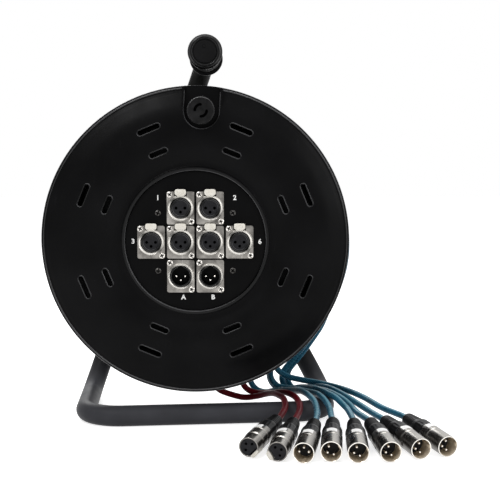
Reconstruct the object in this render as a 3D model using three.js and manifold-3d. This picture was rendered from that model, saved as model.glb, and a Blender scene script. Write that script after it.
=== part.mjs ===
// A stage box snake: a multicore cable wound on a hand drum, with eight sockets in the drum's round
// panel and eight tails with plugs at the cable's free end.
// Millimetres, +Z up. The panel looks along -Y, and +X is to the right of someone who faces it.
import * as THREE from "three";
import { mergeVertices } from "three/addons/utils/BufferGeometryUtils.js";
import Module from "manifold-3d";

const wasm = await Module();
wasm.setup();

// Fits, and how far a cut runs past the faces that it goes through
const fit = 0.3;
const overrun = 4;

// Facets
const drumFacets = 36;
const innerFacets = 30;
const tubeFacets = 10;
const smallFacets = 14;
const barrelFacets = 12;
const pinFacets = 6;
const tailSides = 8;

// Stand: one bent tube, from the carry handle down the left leg, round the base and up the right leg
const tubeRadius = 10;
const baseGap = 15;
const fingerGap = 18;
const standGap = 45.5;
const handleOffset = 8.9;
const leftFoot = -112.8;
const frontLeft = -108;
const frontLeftDepth = 12;
const frontRight = 126;
const frontRightDepth = 34;
const rightFoot = 129;
const kneeHeight = 60;
const kneeOffset = 101;
const handleBend = 35;
const footBend = 42;
const cornerBend = 35;
const kneeBend = 110;
const weldBead = 1.2;
const weldReach = 24;

// Handle grip and end cap
const gripRadius = 15;
const gripStop = 2;
const collarRadius = 16.5;
const collarLength = 7;
const capRadius = 16.7;
const capFront = 36;
const capLength = 15.7;
const capRecessRadius = 12.3;
const capRecessDepth = 1.6;
const capFloor = 4.1;
const capPipRadius = 1.5;
const capPipHeight = 0.8;
const capEdge = 1.2;

// Axle with its head, and the plate that holds it on the right leg
const axleRadius = 8;
const headRadius = 14;
const headLength = 8;
const plateLength = 60;
const plateWidth = 46;
const plateThickness = 4;

// Drum: the panel's front face is at depth zero
const flangeReach = 69;
const flangeWall = 3.5;
const recessDepth = 2.3;
const ledgeWidth = 10;
const beadWidth = 3.6;
const beadHeight = 2.6;
const beadChamfer = 1;
const gutterWidth = 5.4;
const gutterDepth = 1.2;
const crestHeight = 3.8;
const shoulderHeight = 2.8;
const brimHeight = 1.2;
const edgeStep = 3;
const edgeDepth = 4.6;
const lipWidth = 4;
const lipDepth = 6.2;
const rimDepth = 12.5;
const rimWall = 2.4;
const coreStep = 10;
const coreWall = 3;
const hubRadius = 16;
const hubLength = 24;
const webDepth = 46;
const webThickness = 4;

// Where the dish of a flange turns, as shares of the way from its gutter to its rim
const shoulderShare = 11 / 70;
const crestShare = 23 / 70;
const brimShare = 48 / 70;

// Vent slots: pairs in the front flange, and the outer ones in the rear flange too
const slotPairs = 8;
const firstSlotAngle = Math.PI / 8;
const outerSlotLength = 22;
const innerSlotLength = 17.5;
const slotWidth = 4.7;
const outerSlotShare = 15 / 28;
const innerSlotShare = 1 / 5;

// Wound multicore: plain inner layers under one wound outer layer, and a free lane at the rear
const cableRadius = 6.25;
const windingInset = 24;
const lanePitch = 13;
const windingLoops = 6;
const freeLaneWidth = 28;
const windingFront = 10;
const loopSteps = 24;
const cableSides = 6;
const windingStart = 140;
const shiftSteps = 4;

// Panel and its screws
const panelThickness = 2;
const screwHeadRadius = 2.8;
const screwHeadHeight = 1.4;
const screwShankRadius = 1.6;
const screwLength = 9;
const screwOffset = 35;
const upperScrewHeight = 26.3;
const lowerScrewHeight = -28;
const lugWidth = 9;
const lugReach = 37;

// Panel sockets, laid out from the drum's axis
const socketWidth = 26;
const socketHeight = 31;
const columnGap = 1.6;
const rowGap = 1;
const middleRow = -1;
const panelMargin = 11.6;
const socketPlate = 2.2;
const socketCorner = 2;
const barrelInset = 1.4;
const barrelFront = 5;
const barrelRear = 21;
const mouthWall = 2.1;
const grooveWidth = 1.5;
const insertFront = 3.9;
const grooveDepth = 6;
const cupDepth = 8;
const contactSpread = 4.15;
const contactDrop = 3.8;
const contactRadius = 1.25;
const contactDepth = 5;
const pinReach = 3;

// Release tabs of the female sockets
const tabWidth = 11.3;
const tabLift = 1.3;
const tabOverhang = 2.4;
const tabStepOut = 0.1;
const tabFront = 6.4;
const tabTravel = 1.5;
const tabRoot = 0.5;

// Winding knob in its pocket
const knobSide = 6;
const knobInset = 23.8;
const knobRadius = 12.4;
const knobFront = 36;
const knobNeck = 10.8;
const knobSlotRadius = 5.2;
const knobSlotWidth = 1.4;
const knobSlotDepth = 2.5;
const pocketRadius = 16.5;
const pocketWall = 2.4;
const pocketFloor = 6.5;
const pocketBase = 3;
const boltRadius = 3;
const boltHeadRadius = 5;
const boltHeadLength = 3;
const boltReach = 20;

// Free end of the multicore, and the breakout that splits it into tails
const freeEndGap = 1.35;
const freeEndFrom = 230;
const freeEndTo = 40;
const freeEndSteps = 16;
const freeEndStraight = 11.7;
const breakoutWidth = 14.4;
const breakoutHeight = 28.6;
const breakoutLength = 42;
const breakoutTip = 13;
const breakoutCorner = 4;
const breakoutLip = 8;
const seatPitch = 7.1;
const tailLead = 8;

// Cable plugs
const tailRadius = 3;
const shellRadius = 9.6;
const shellLength = 37;
const noseRadius = 8.9;
const noseLength = 15;
const shellWall = 1.1;
const plugCupDepth = 13;
const plugPinReach = 10;
const plugPinRadius = 1.2;
const plugFaceDepth = 0.8;
const clampRadius = 9.2;
const clampLength = 14.7;
const clampChamfer = 0.8;
const bootFront = 7.2;
const bootRear = 5;
const plugLength = 80;
const pushTabWidth = 7;
const pushTabLength = 12;
const pushTabStand = 0.6;
const pushTabInner = 6.6;
const pushTabOuter = 9.9;
const pushTabChamfer = 1.2;
const pushTabTravel = 1.2;

// The sockets' places, their round parts and their tabs follow from their plates
const columnPitch = socketWidth + columnGap;
const rowPitch = socketHeight + rowGap;
const socketRows = [middleRow + rowPitch, middleRow, middleRow - rowPitch];
const outerColumn = (columnPitch * 3) / 2;
const barrelRadius = socketWidth / 2 - barrelInset;
const mouthRadius = barrelRadius - mouthWall;
const insertRadius = mouthRadius - grooveWidth;
const tabBottom = mouthRadius + tabLift;
const tabTop = socketHeight / 2 + tabOverhang;
const tabStep = socketHeight / 2 + tabStepOut;

// The panel holds the sockets, the core surrounds the panel, and the flanges stand out from the core
const recessRadius = outerColumn + socketWidth / 2 + panelMargin;
const ledgeRadius = recessRadius - ledgeWidth;
const coreRadius = recessRadius + coreStep;
const flangeRadius = coreRadius + flangeReach;
const gutterRadius = recessRadius + beadWidth + gutterWidth;
const dishWidth = flangeRadius - gutterRadius;
const shoulderRadius = gutterRadius + dishWidth * shoulderShare;
const crestRadius = gutterRadius + dishWidth * crestShare;
const brimRadius = gutterRadius + dishWidth * brimShare;
const edgeRadius = flangeRadius - lipWidth - edgeStep;
const outerSlotRadius = gutterRadius + dishWidth * outerSlotShare;
const innerSlotRadius = gutterRadius + dishWidth * innerSlotShare;
const windingRadius = flangeRadius - windingInset;
const knobReach = flangeRadius - knobInset;

// The depths that follow from the winding
const laneFront = windingFront + windingLoops * lanePitch;
const freeEndDepth = laneFront + cableRadius + freeEndGap;
const innerRear = laneFront + freeLaneWidth;
const rearFace = innerRear + flangeWall;

// The stand's height and depth follow from the drum, and the grip and cap sit on its tube
const axleHeight = 2 * tubeRadius + baseGap + flangeRadius;
const handleHeight = axleHeight + flangeRadius + fingerGap + gripRadius;
const rearPlane = rearFace + standGap;
const gripEnd = rearPlane - handleBend - gripStop;
const handleFront = capFront + capRecessDepth + capFloor + fit;

// Each plug's front ring and a point on its axis at the boot, and the turn of its contacts
const plugPlaces = {
  a: { ring: [47.6, -112, 10.9], boot: [75, -37.2, 17.4], turn: 135, female: true },
  b: { ring: [72, -124, 9.9], boot: [90, -46.2, 17.2], turn: -120, female: true },
  1: { ring: [94, -129, 9.9], boot: [109, -50.8, 17], turn: 180, female: false },
  2: { ring: [118, -125, 9.9], boot: [126, -45.7, 17], turn: 160, female: false },
  3: { ring: [141, -129, 9.9], boot: [145, -49.4, 17], turn: 160, female: false },
  4: { ring: [169, -127, 9.9], boot: [160, -47.8, 17], turn: 150, female: false },
  5: { ring: [196.5, -117, 9.9], boot: [174.5, -40.4, 17], turn: 150, female: false },
  6: { ring: [221, -109, 9.9], boot: [196, -33.4, 17], turn: 150, female: false },
};

// Which row and column of the breakout's mouth each tail leaves from
const tailSeats = {
  a: [0, 0],
  b: [0, 1],
  1: [1, 0],
  2: [1, 1],
  6: [2, 0],
  3: [2, 1],
  4: [3, 0],
  5: [3, 1],
};

// Points of each tail between its straight ends, from the breakout to the plug
const tailRoutes = {
  a: [
    [130.4, 87.6, 196.2], [133, 84.8, 184.2], [134, 84.2, 168.8], [132.8, 83.8, 154],
    [129.4, 83.6, 138.8], [124.2, 83.8, 124.4], [117.4, 84, 111], [109, 84, 98.2], [99.6, 84, 86.4],
    [88.8, 83.8, 75.4], [77.6, 84, 65.4], [65, 84.2, 56.6], [51.6, 84.4, 50], [36.8, 84.8, 46],
    [23.8, 85, 43.4], [18, 85.8, 38.8], [15.6, 86.8, 32.4], [16.8, 87.6, 25.8], [21.6, 88.6, 20.2],
    [34.8, 89.8, 14.6], [47.6, 88.8, 12], [59.4, 83.4, 14.4], [69.2, 72.6, 19], [75.4, 59.4, 22.2],
    [80.2, 44.8, 23.4], [84.4, 30.4, 23], [85.4, 15.2, 20.6], [83.8, 0.4, 19], [81, -14.8, 18.4],
  ],
  b: [
    [128.4, 96.8, 192], [131, 93.6, 177.4], [131.8, 91.4, 162.4], [130.8, 90.8, 147.8],
    [127.2, 90.8, 133.2], [121.4, 91, 119.2], [114.2, 91, 105.8], [106, 91, 93.8], [96.4, 91, 82],
    [85.8, 91.2, 71.2], [74.6, 91.4, 61], [63.2, 92.2, 51.8], [51.2, 93.6, 42.6], [45.8, 94.2, 35.2],
    [45.2, 94.6, 28], [47.8, 94.8, 21.8], [53.6, 94.2, 17.4], [61, 92.6, 16], [68.6, 87.6, 17.2],
    [76.2, 75.4, 19.6], [82.8, 62.2, 23.2], [89.4, 48.6, 24.8], [95.8, 35, 23.8], [99, 20.8, 21.4],
    [98.8, 5.8, 20], [97.2, -9.2, 18.8], [94.6, -24.2, 18.2],
  ],
  1: [
    [135.8, 92.8, 195.2], [138, 92.8, 180.4], [138.4, 94, 165.6], [136.8, 95.2, 150.2],
    [133.4, 95.8, 135.8], [128, 96.2, 121.8], [121.2, 96.4, 108.6], [113, 96.8, 95.6],
    [104.2, 97.6, 83.6], [94.6, 98.4, 72.2], [84.4, 99.4, 61.4], [73.4, 100.8, 51.6], [61, 102.2, 42.4],
    [54.6, 103.6, 35.2], [53.4, 104.4, 28.2], [55.8, 104.8, 21.6], [61, 104.2, 16.6], [68, 102.4, 14.8],
    [77.6, 97, 17], [87.4, 86.4, 20.2], [95.4, 73.4, 22.6], [101.6, 60, 24.8], [106.8, 46.2, 25.2],
    [111, 31.8, 24], [113.8, 16.8, 22.6], [114.4, 2, 20.6], [114.2, -12.8, 19], [112.6, -27.6, 18.2],
  ],
  2: [
    [134.4, 100, 195.6], [137.6, 100.2, 181.2], [138.8, 101.2, 166.4], [138, 102.2, 151.6],
    [135.2, 102.8, 137.2], [130.4, 103, 123.2], [124.2, 103.2, 109.8], [117.2, 103, 96.2],
    [109.6, 103, 83.4], [101.2, 103.2, 71.4], [91.4, 103.8, 60.2], [81.6, 104, 49], [75, 104.6, 38.2],
    [74.4, 105, 31.2], [77, 104.4, 25.2], [82.2, 102.4, 20.8], [91, 97.8, 19.8], [100.6, 88.8, 20.6],
    [107, 75.4, 21.6], [113.2, 62, 22.8], [119.2, 48.6, 23.4], [123.8, 34.6, 21.8], [126.8, 20.4, 19.4],
    [127.8, 5.8, 17.4], [127.6, -9, 15.6], [127.2, -23.8, 15.4],
  ],
  3: [
    [140.6, 99.4, 199.6], [144.2, 100.4, 185], [145.8, 101.8, 170.6], [146.2, 103.8, 155.6],
    [143.6, 106.6, 141], [138.8, 108.8, 126.8], [133, 110.8, 113.6], [126, 113, 100.4],
    [117.8, 115.2, 88], [108.6, 116.8, 76.2], [99, 118, 64.6], [89.8, 118.4, 53.2], [79.2, 118.4, 42.6],
    [74.2, 118.4, 34.2], [74, 117.4, 27], [77.4, 115.8, 20.2], [83.4, 112.8, 16.2], [91.4, 107, 16],
    [102.6, 98, 20.2], [110.2, 85.4, 23], [115.8, 72.2, 25], [122.6, 58.6, 25.4], [129, 45, 24.8],
    [135, 31.2, 23.8], [139.8, 17.6, 21.2], [143.8, 3.4, 18.8], [145, -11.6, 18], [145.4, -26.8, 17.8],
  ],
  4: [
    [147.2, 94.6, 204.2], [150.2, 96.2, 190], [151.8, 97.4, 175], [152.2, 98.8, 160.4],
    [150.6, 101.2, 145.4], [147.4, 104.6, 131.6], [142.6, 108.6, 117.6], [137, 112.4, 104.8],
    [130.4, 116.4, 91.6], [123.8, 120, 79.2], [115.4, 122.8, 66.8], [106.6, 124.6, 54.6],
    [97.4, 125, 43.2], [89, 124.4, 32.4], [87, 122.6, 25.2], [89, 119.6, 18.8], [93.4, 115.4, 14.8],
    [100.2, 109.4, 14.2], [109.8, 98.4, 16.6], [117, 85.6, 20], [123.6, 72.8, 23], [130.2, 59.2, 23.8],
    [136.4, 46, 23.2], [142.2, 32, 22], [147.4, 18.6, 19.6], [151.2, 4, 17.2], [153.4, -10.4, 17],
    [156.4, -25.4, 17.4],
  ],
  5: [
    [146, 101.6, 205], [149.6, 103.4, 190.4], [151.6, 105.2, 176], [152, 107.6, 161.2],
    [150.2, 110.6, 147], [147, 114.4, 132.8], [142.8, 118.4, 118.8], [138.4, 122.2, 105.4],
    [133.2, 125.8, 91.8], [127.8, 128.8, 78.6], [120, 130.8, 66], [111.4, 131.6, 53.6],
    [102.4, 131.6, 42], [94.6, 130.8, 31.8], [93, 128.4, 24.6], [94.8, 125, 18.6], [98.8, 120.8, 15],
    [106.2, 113.6, 15], [115, 102.8, 18.4], [123.2, 90.8, 22.6], [131, 78, 24], [137.8, 65.2, 23.6],
    [144, 51.4, 22.6], [149.6, 38, 21.4], [155, 24, 20], [160, 9.8, 18.8], [164.4, -4, 18],
    [168.4, -18.6, 17.8],
  ],
  6: [
    [142.2, 91.6, 199], [144.8, 93, 184.2], [145.6, 94.6, 169.4], [144.6, 96.4, 154.6],
    [142, 98.2, 139.4], [138, 100.2, 125.2], [132.8, 102.8, 111.4], [125.6, 105.8, 98],
    [116.8, 108.2, 86.2], [106.8, 109.8, 75.2], [95.2, 111.8, 65], [83.6, 111.2, 55.8], [79.6, 111, 48.8],
    [79.6, 111.4, 41.6], [83.2, 111.8, 35], [92.2, 110.4, 29.4], [106.6, 108.4, 26], [120.6, 103.2, 24.4],
    [133.6, 95.2, 23], [144, 84.6, 22.2], [151.8, 71.8, 21.8], [159, 58, 21.2], [165.2, 44.4, 20.4],
    [170.2, 30.4, 19.6], [175.2, 15.8, 18.8], [180.8, 1.8, 18.2], [187.2, -11.6, 18],
  ],
};

// The deepest and the foremost point of what stands, which centre the part on its origin
const rearmost = rearPlane + tubeRadius + weldBead;
const partCentre = (rearmost - knobFront) / 2;

const steelPaint = new THREE.MeshStandardMaterial({ color: 0x1b1c1e, roughness: 0.45, metalness: 0.2 });
const blackPlastic = new THREE.MeshStandardMaterial({ color: 0x141415, roughness: 0.55, metalness: 0 });
const panelPaint = new THREE.MeshStandardMaterial({ color: 0x0d0d0e, roughness: 0.5, metalness: 0.1 });
const bareSteel = new THREE.MeshStandardMaterial({ color: 0x9a9b9c, roughness: 0.35, metalness: 1 });
const nickel = new THREE.MeshStandardMaterial({ color: 0xb9b4aa, roughness: 0.3, metalness: 1 });
const ivory = new THREE.MeshStandardMaterial({ color: 0xe9e4da, roughness: 0.4, metalness: 0 });
const darkRubber = new THREE.MeshStandardMaterial({ color: 0x17171a, roughness: 0.7, metalness: 0 });
const redSheath = new THREE.MeshStandardMaterial({ color: 0x9c1822, roughness: 0.45, metalness: 0 });
const blueSheath = new THREE.MeshStandardMaterial({ color: 0x2f8fa3, roughness: 0.35, metalness: 0 });

// Keeps the positions and whole triangles of a geometry, facing out.
function cleaned(geometry) {
  const bare = geometry.clone();
  bare.deleteAttribute("normal");
  bare.deleteAttribute("uv");
  const merged = mergeVertices(bare, 1e-4);
  const index = merged.index.array;
  const kept = [];
  for (let i = 0; i < index.length; i += 3) {
    const [a, b, c] = [index[i], index[i + 1], index[i + 2]];
    if (a !== b && b !== c && c !== a) kept.push(a, b, c);
  }
  return { positions: merged.attributes.position.array, triangles: new Uint32Array(kept) };
}

function manifoldOf({ positions, triangles }) {
  return new wasm.Manifold(new wasm.Mesh({ numProp: 3, vertProperties: positions, triVerts: triangles }));
}

// A closed geometry as a solid for cuts and joins.
function solid(geometry) {
  const mesh = cleaned(geometry);
  const made = manifoldOf(mesh);
  if (made.volume() > 0) return made;
  for (let i = 0; i < mesh.triangles.length; i += 3) {
    const turned = mesh.triangles[i];
    mesh.triangles[i] = mesh.triangles[i + 1];
    mesh.triangles[i + 1] = turned;
  }
  return manifoldOf(mesh);
}

function geometryOf(made) {
  const mesh = made.getMesh();
  const geometry = new THREE.BufferGeometry();
  geometry.setAttribute("position", new THREE.BufferAttribute(new Float32Array(mesh.vertProperties), 3));
  geometry.setIndex(new THREE.BufferAttribute(new Uint32Array(mesh.triVerts), 1));
  geometry.computeVertexNormals();
  return geometry;
}

function named(name, made, material) {
  const mesh = new THREE.Mesh(geometryOf(made), material);
  mesh.name = name;
  return mesh;
}

// A body turned about the Y axis, from points of radius and depth.
function turned(points, facets) {
  const ring = points.map(([radius, depth]) => new THREE.Vector2(radius, depth));
  return solid(new THREE.LatheGeometry(ring, facets));
}

// A rod along Y from one depth to another.
function rod(radius, from, to, facets, x = 0, z = 0) {
  const geometry = new THREE.CylinderGeometry(radius, radius, to - from, facets);
  geometry.translate(x, (from + to) / 2, z);
  return solid(geometry);
}

function block(x, y, z) {
  const geometry = new THREE.BoxGeometry(x[1] - x[0], y[1] - y[0], z[1] - z[0]);
  geometry.translate((x[0] + x[1]) / 2, (y[0] + y[1]) / 2, (z[0] + z[1]) / 2);
  return solid(geometry);
}

// A flat outline in X and Z, extruded along Y from one depth to another.
function slab(outline, from, to) {
  const geometry = new THREE.ExtrudeGeometry(outline, { depth: to - from, bevelEnabled: false, curveSegments: 3 });
  geometry.rotateX(Math.PI / 2);
  geometry.translate(0, to, 0);
  return solid(geometry);
}

function joined(first, ...others) {
  return others.reduce((sum, other) => sum.add(other), first);
}

function cut(first, ...others) {
  return others.reduce((rest, other) => rest.subtract(other), first);
}

// A path given by its stations: an extrusion then has one ring at each of them.
class Stations extends THREE.Curve {
  constructor(points, tangents) {
    super();
    this.points = points;
    this.tangents = tangents;
  }

  getPointAt(share, target = new THREE.Vector3()) {
    return target.copy(this.points[Math.round(share * (this.points.length - 1))]);
  }

  getTangentAt(share, target = new THREE.Vector3()) {
    return target.copy(this.tangents[Math.round(share * (this.tangents.length - 1))]);
  }
}

// Corners joined by straight runs and round bends of the given radii.
function bentPath(corners, radii, bendStep) {
  const points = [corners[0]];
  const tangents = [corners[1].clone().sub(corners[0]).normalize()];
  for (let i = 1; i < corners.length - 1; i += 1) {
    const before = corners[i].clone().sub(corners[i - 1]).normalize();
    const after = corners[i + 1].clone().sub(corners[i]).normalize();
    const turn = before.angleTo(after);
    const radius = radii[i - 1];
    const inward = after.clone().sub(before).normalize();
    const centre = corners[i].clone().addScaledVector(inward, radius / Math.cos(turn / 2));
    const steps = Math.max(2, Math.ceil(turn / bendStep));
    for (let k = 0; k <= steps; k += 1) {
      const angle = (turn * k) / steps - turn / 2;
      const along = before.clone().add(after).normalize();
      const outward = inward.clone().negate();
      const spoke = outward.multiplyScalar(Math.cos(angle)).addScaledVector(along, Math.sin(angle));
      points.push(centre.clone().addScaledVector(spoke, radius));
      const tangent = along.multiplyScalar(Math.cos(angle)).addScaledVector(inward, Math.sin(angle));
      tangents.push(tangent.normalize());
    }
  }
  points.push(corners[corners.length - 1]);
  tangents.push(corners[corners.length - 1].clone().sub(corners[corners.length - 2]).normalize());
  return new Stations(points, tangents);
}

function polygon(radius, sides, turn = 0) {
  const corners = [];
  for (let i = 0; i < sides; i += 1) {
    const angle = turn + (2 * Math.PI * i) / sides;
    corners.push(new THREE.Vector2(radius * Math.cos(angle), radius * Math.sin(angle)));
  }
  return new THREE.Shape(corners);
}

function tubeAlong(path, radius, sides, steps) {
  const options = { steps, bevelEnabled: false, extrudePath: path };
  return solid(new THREE.ExtrudeGeometry(polygon(radius, sides), options));
}

const part = new THREE.Group();
part.position.set(0, -partCentre, 0);
const drum = new THREE.Group();
drum.position.set(0, 0, axleHeight);
part.add(drum);

// Stand tube. The right leg passes behind the axle and is welded to the left leg.
const legSlope = (handleOffset - leftFoot) / (handleHeight - tubeRadius);
const rightSlope = kneeOffset / (axleHeight - kneeHeight);
const weldHeight = (leftFoot - legSlope * tubeRadius - rightSlope * axleHeight) / -(legSlope + rightSlope);
const weldPoint = new THREE.Vector3(rightSlope * (axleHeight - weldHeight), rearPlane, weldHeight);
const knee = new THREE.Vector3(kneeOffset, rearPlane, kneeHeight);
const legRise = weldPoint.clone().sub(knee).normalize();
const legsAngle = Math.atan(legSlope) + Math.atan(rightSlope);
const weldStop = tubeRadius / Math.sin(legsAngle) + tubeRadius / Math.tan(legsAngle) + fit;

function standTube() {
  const corners = [
    new THREE.Vector3(handleOffset, handleFront, handleHeight),
    new THREE.Vector3(handleOffset, rearPlane, handleHeight),
    new THREE.Vector3(leftFoot, rearPlane, tubeRadius),
    new THREE.Vector3(frontLeft, frontLeftDepth, tubeRadius),
    new THREE.Vector3(frontRight, frontRightDepth, tubeRadius),
    new THREE.Vector3(rightFoot, rearPlane, tubeRadius),
    knee,
    weldPoint.clone().addScaledVector(legRise, -weldStop),
  ];
  const radii = [handleBend, footBend, cornerBend, cornerBend, cornerBend, kneeBend];
  const path = bentPath(corners, radii, Math.PI / 9);
  const tube = tubeAlong(path, tubeRadius, tubeFacets, path.points.length - 1);
  const bead = weldPoint.clone().addScaledVector(legRise, -weldReach);
  const collar = new Stations([bead, weldPoint], [legRise, legRise]);
  return joined(tube, tubeAlong(collar, tubeRadius + weldBead, tubeFacets, 1));
}
part.add(named("stand_tube", standTube(), steelPaint));

// Handle
function handleCap() {
  const rear = capFront + capLength;
  const recess = capFront + capRecessDepth;
  return turned(
    [
      [0, recess - capPipHeight],
      [capPipRadius, recess - capPipHeight],
      [capPipRadius, recess],
      [capRecessRadius, recess],
      [capRecessRadius, capFront],
      [capRadius - capEdge, capFront],
      [capRadius, capFront + capEdge],
      [capRadius, rear],
      [tubeRadius + fit, rear],
      [tubeRadius + fit, handleFront - fit],
      [0, handleFront - fit],
    ],
    smallFacets,
  );
}

function handleGrip() {
  const front = capFront + capLength + fit;
  return turned(
    [
      [tubeRadius + fit, front],
      [gripRadius, front],
      [gripRadius, gripEnd - collarLength],
      [collarRadius, gripEnd - collarLength],
      [collarRadius, gripEnd],
      [tubeRadius + fit, gripEnd],
      [tubeRadius + fit, front],
    ],
    smallFacets,
  );
}
const handle = new THREE.Group();
handle.position.set(handleOffset, 0, handleHeight);
part.add(handle);
handle.add(named("handle_cap", handleCap(), blackPlastic));
handle.add(named("handle_grip", handleGrip(), darkRubber));

// Axle and hub plate. The axle's head holds the drum's bearing web.
const plateRear = rearPlane - tubeRadius - fit;
const plateFront = plateRear - plateThickness;

function axle() {
  const headFront = webDepth - fit - headLength;
  const head = rod(headRadius, headFront, headFront + headLength, pinFacets);
  return joined(head, rod(axleRadius, headFront + headLength / 2, plateFront - fit, smallFacets));
}
drum.add(named("axle", axle(), bareSteel));

const hubPlate = block(
  [-plateWidth / 2, plateWidth / 2],
  [plateFront, plateRear],
  [-plateLength / 2, plateLength / 2],
);
const hubPlateMesh = named("hub_plate", hubPlate, steelPaint);
hubPlateMesh.rotation.set(0, -Math.atan(rightSlope), 0);
drum.add(hubPlateMesh);

// Vent slots, cut straight through a flange
const outerSlots = [outerSlotRadius, outerSlotLength];
const innerSlots = [innerSlotRadius, innerSlotLength];

function slotOutline(length) {
  const half = length / 2 - slotWidth / 2;
  const outline = new THREE.Shape();
  outline.moveTo(-half, -slotWidth / 2);
  outline.lineTo(half, -slotWidth / 2);
  outline.lineTo(half + slotWidth / 2, 0);
  outline.lineTo(half, slotWidth / 2);
  outline.lineTo(-half, slotWidth / 2);
  outline.lineTo(-half - slotWidth / 2, 0);
  return outline;
}

function withSlots(flange, rings, from, to) {
  let vented = flange;
  for (let i = 0; i < slotPairs; i += 1) {
    const angle = firstSlotAngle + (2 * Math.PI * i) / slotPairs;
    for (const [radius, length] of rings) {
      const tool = slab(slotOutline(length), from, to)
        .translate(0, 0, radius)
        .rotate(0, (angle * 180) / Math.PI, 0);
      vented = vented.subtract(tool);
    }
  }
  return vented;
}

// The dished face of a flange from the gutter to the rim, as radius and height above depth zero
const rimFace = [
  [gutterRadius, -gutterDepth],
  [shoulderRadius, shoulderHeight],
  [crestRadius, crestHeight],
  [brimRadius, brimHeight],
  [edgeRadius, -edgeDepth],
  [flangeRadius - lipWidth, -lipDepth],
  [flangeRadius, -lipDepth],
  [flangeRadius, -rimDepth],
  [flangeRadius - rimWall, -rimDepth],
  [edgeRadius, -edgeDepth - flangeWall],
  [brimRadius, brimHeight - flangeWall],
  [crestRadius, crestHeight - flangeWall],
  [shoulderRadius, shoulderHeight - flangeWall],
];

// Knob pocket: a U with a round bottom, open towards the rim
const knobAngle = Math.atan2(knobSide, knobReach);
const knobRadial = Math.hypot(knobSide, knobReach);

function pocketOutline(radius) {
  const outline = new THREE.Shape();
  outline.absarc(0, 0, radius, Math.PI, 2 * Math.PI, false);
  outline.lineTo(radius, flangeRadius);
  outline.lineTo(-radius, flangeRadius);
  return outline;
}

function pocketTool(radius, from, to) {
  return slab(pocketOutline(radius), from, to)
    .translate(0, 0, knobRadial)
    .rotate(0, (knobAngle * 180) / Math.PI, 0);
}

function frontFlange() {
  const lathe = turned(
    [
      [ledgeRadius, recessDepth],
      [recessRadius, recessDepth],
      [recessRadius, beadChamfer - beadHeight],
      [recessRadius + beadChamfer, -beadHeight],
      [recessRadius + beadWidth - beadChamfer, -beadHeight],
      [recessRadius + beadWidth, gutterDepth],
      ...rimFace.map(([radius, height]) => [radius, -height]),
      [coreRadius, recessDepth + flangeWall],
      [ledgeRadius, recessDepth + flangeWall],
      [ledgeRadius, recessDepth],
    ],
    drumFacets,
  );
  const rim = rod(flangeRadius, -crestHeight, pocketFloor + pocketBase, drumFacets);
  const pocket = pocketTool(pocketRadius + pocketWall, 0, pocketFloor + pocketBase).intersect(rim);
  const hollow = pocketTool(pocketRadius, -overrun * 2, pocketFloor);
  const stem = rod(boltRadius + fit, 0, rimDepth + overrun, smallFacets, knobSide, knobReach);
  let flange = cut(joined(lathe, pocket), hollow, stem);
  flange = withSlots(flange, [outerSlots, innerSlots], -overrun * 2, rimDepth + overrun);
  for (const side of [-1, 1]) {
    for (const height of [upperScrewHeight, lowerScrewHeight]) {
      const angle = Math.atan2(side * screwOffset, height);
      const lug = block([-lugWidth / 2, lugWidth / 2], [recessDepth, recessDepth + flangeWall], [lugReach, ledgeRadius + fit])
        .rotate(0, (angle * 180) / Math.PI, 0);
      const hole = rod(screwShankRadius + fit, 0, screwLength + overrun, barrelFacets, side * screwOffset, height);
      flange = cut(joined(flange, lug), hole);
    }
  }
  return flange;
}
drum.add(named("front_flange", frontFlange(), blackPlastic));

// Rear flange, dished the other way, with a plain middle and the rear bearing
function rearFlange() {
  const lathe = turned(
    [
      [axleRadius + fit, rearFace + flangeWall],
      [hubRadius, rearFace + flangeWall],
      [hubRadius, rearFace],
      [coreRadius, rearFace],
      ...rimFace.slice(1).map(([radius, height]) => [radius, rearFace + height]),
      [coreRadius, innerRear],
      [hubRadius, innerRear],
      [hubRadius, innerRear - hubLength],
      [axleRadius + fit, innerRear - hubLength],
      [axleRadius + fit, rearFace + flangeWall],
    ],
    innerFacets,
  );
  return withSlots(lathe, [outerSlots], innerRear - rimDepth, rearFace + overrun * 2);
}
drum.add(named("rear_flange", rearFlange(), blackPlastic));

// Core: a drum shell, and the bearing web inside it
function drumCore() {
  const front = recessDepth + flangeWall + fit;
  const rear = innerRear - fit;
  const inside = coreRadius - coreWall;
  return turned(
    [
      [inside, front],
      [coreRadius, front],
      [coreRadius, rear],
      [inside, rear],
      [inside, front],
    ],
    innerFacets,
  );
}
drum.add(named("drum_core", drumCore(), blackPlastic));

function bearingWeb() {
  const rim = coreRadius - coreWall - fit;
  return turned(
    [
      [axleRadius + fit, webDepth],
      [rim, webDepth],
      [rim, webDepth + webThickness],
      [hubRadius, webDepth + webThickness],
      [hubRadius, webDepth + hubLength],
      [axleRadius + fit, webDepth + hubLength],
      [axleRadius + fit, webDepth],
    ],
    innerFacets,
  );
}
drum.add(named("bearing_web", bearingWeb(), blackPlastic));

// Wound multicore
const layerRadius = windingRadius * Math.cos(Math.PI / loopSteps) - cableRadius - fit;

function innerLayers() {
  const rear = innerRear - fit;
  return turned(
    [
      [coreRadius + fit, windingFront],
      [layerRadius, windingFront],
      [layerRadius, rear],
      [coreRadius + fit, rear],
      [coreRadius + fit, windingFront],
    ],
    innerFacets,
  );
}
drum.add(named("multicore_inner_layers", innerLayers(), darkRubber));

// The way clockwise round the axle at an angle
function clockwise(angle) {
  return new THREE.Vector3(Math.sin(angle), 0, -Math.cos(angle));
}

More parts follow.
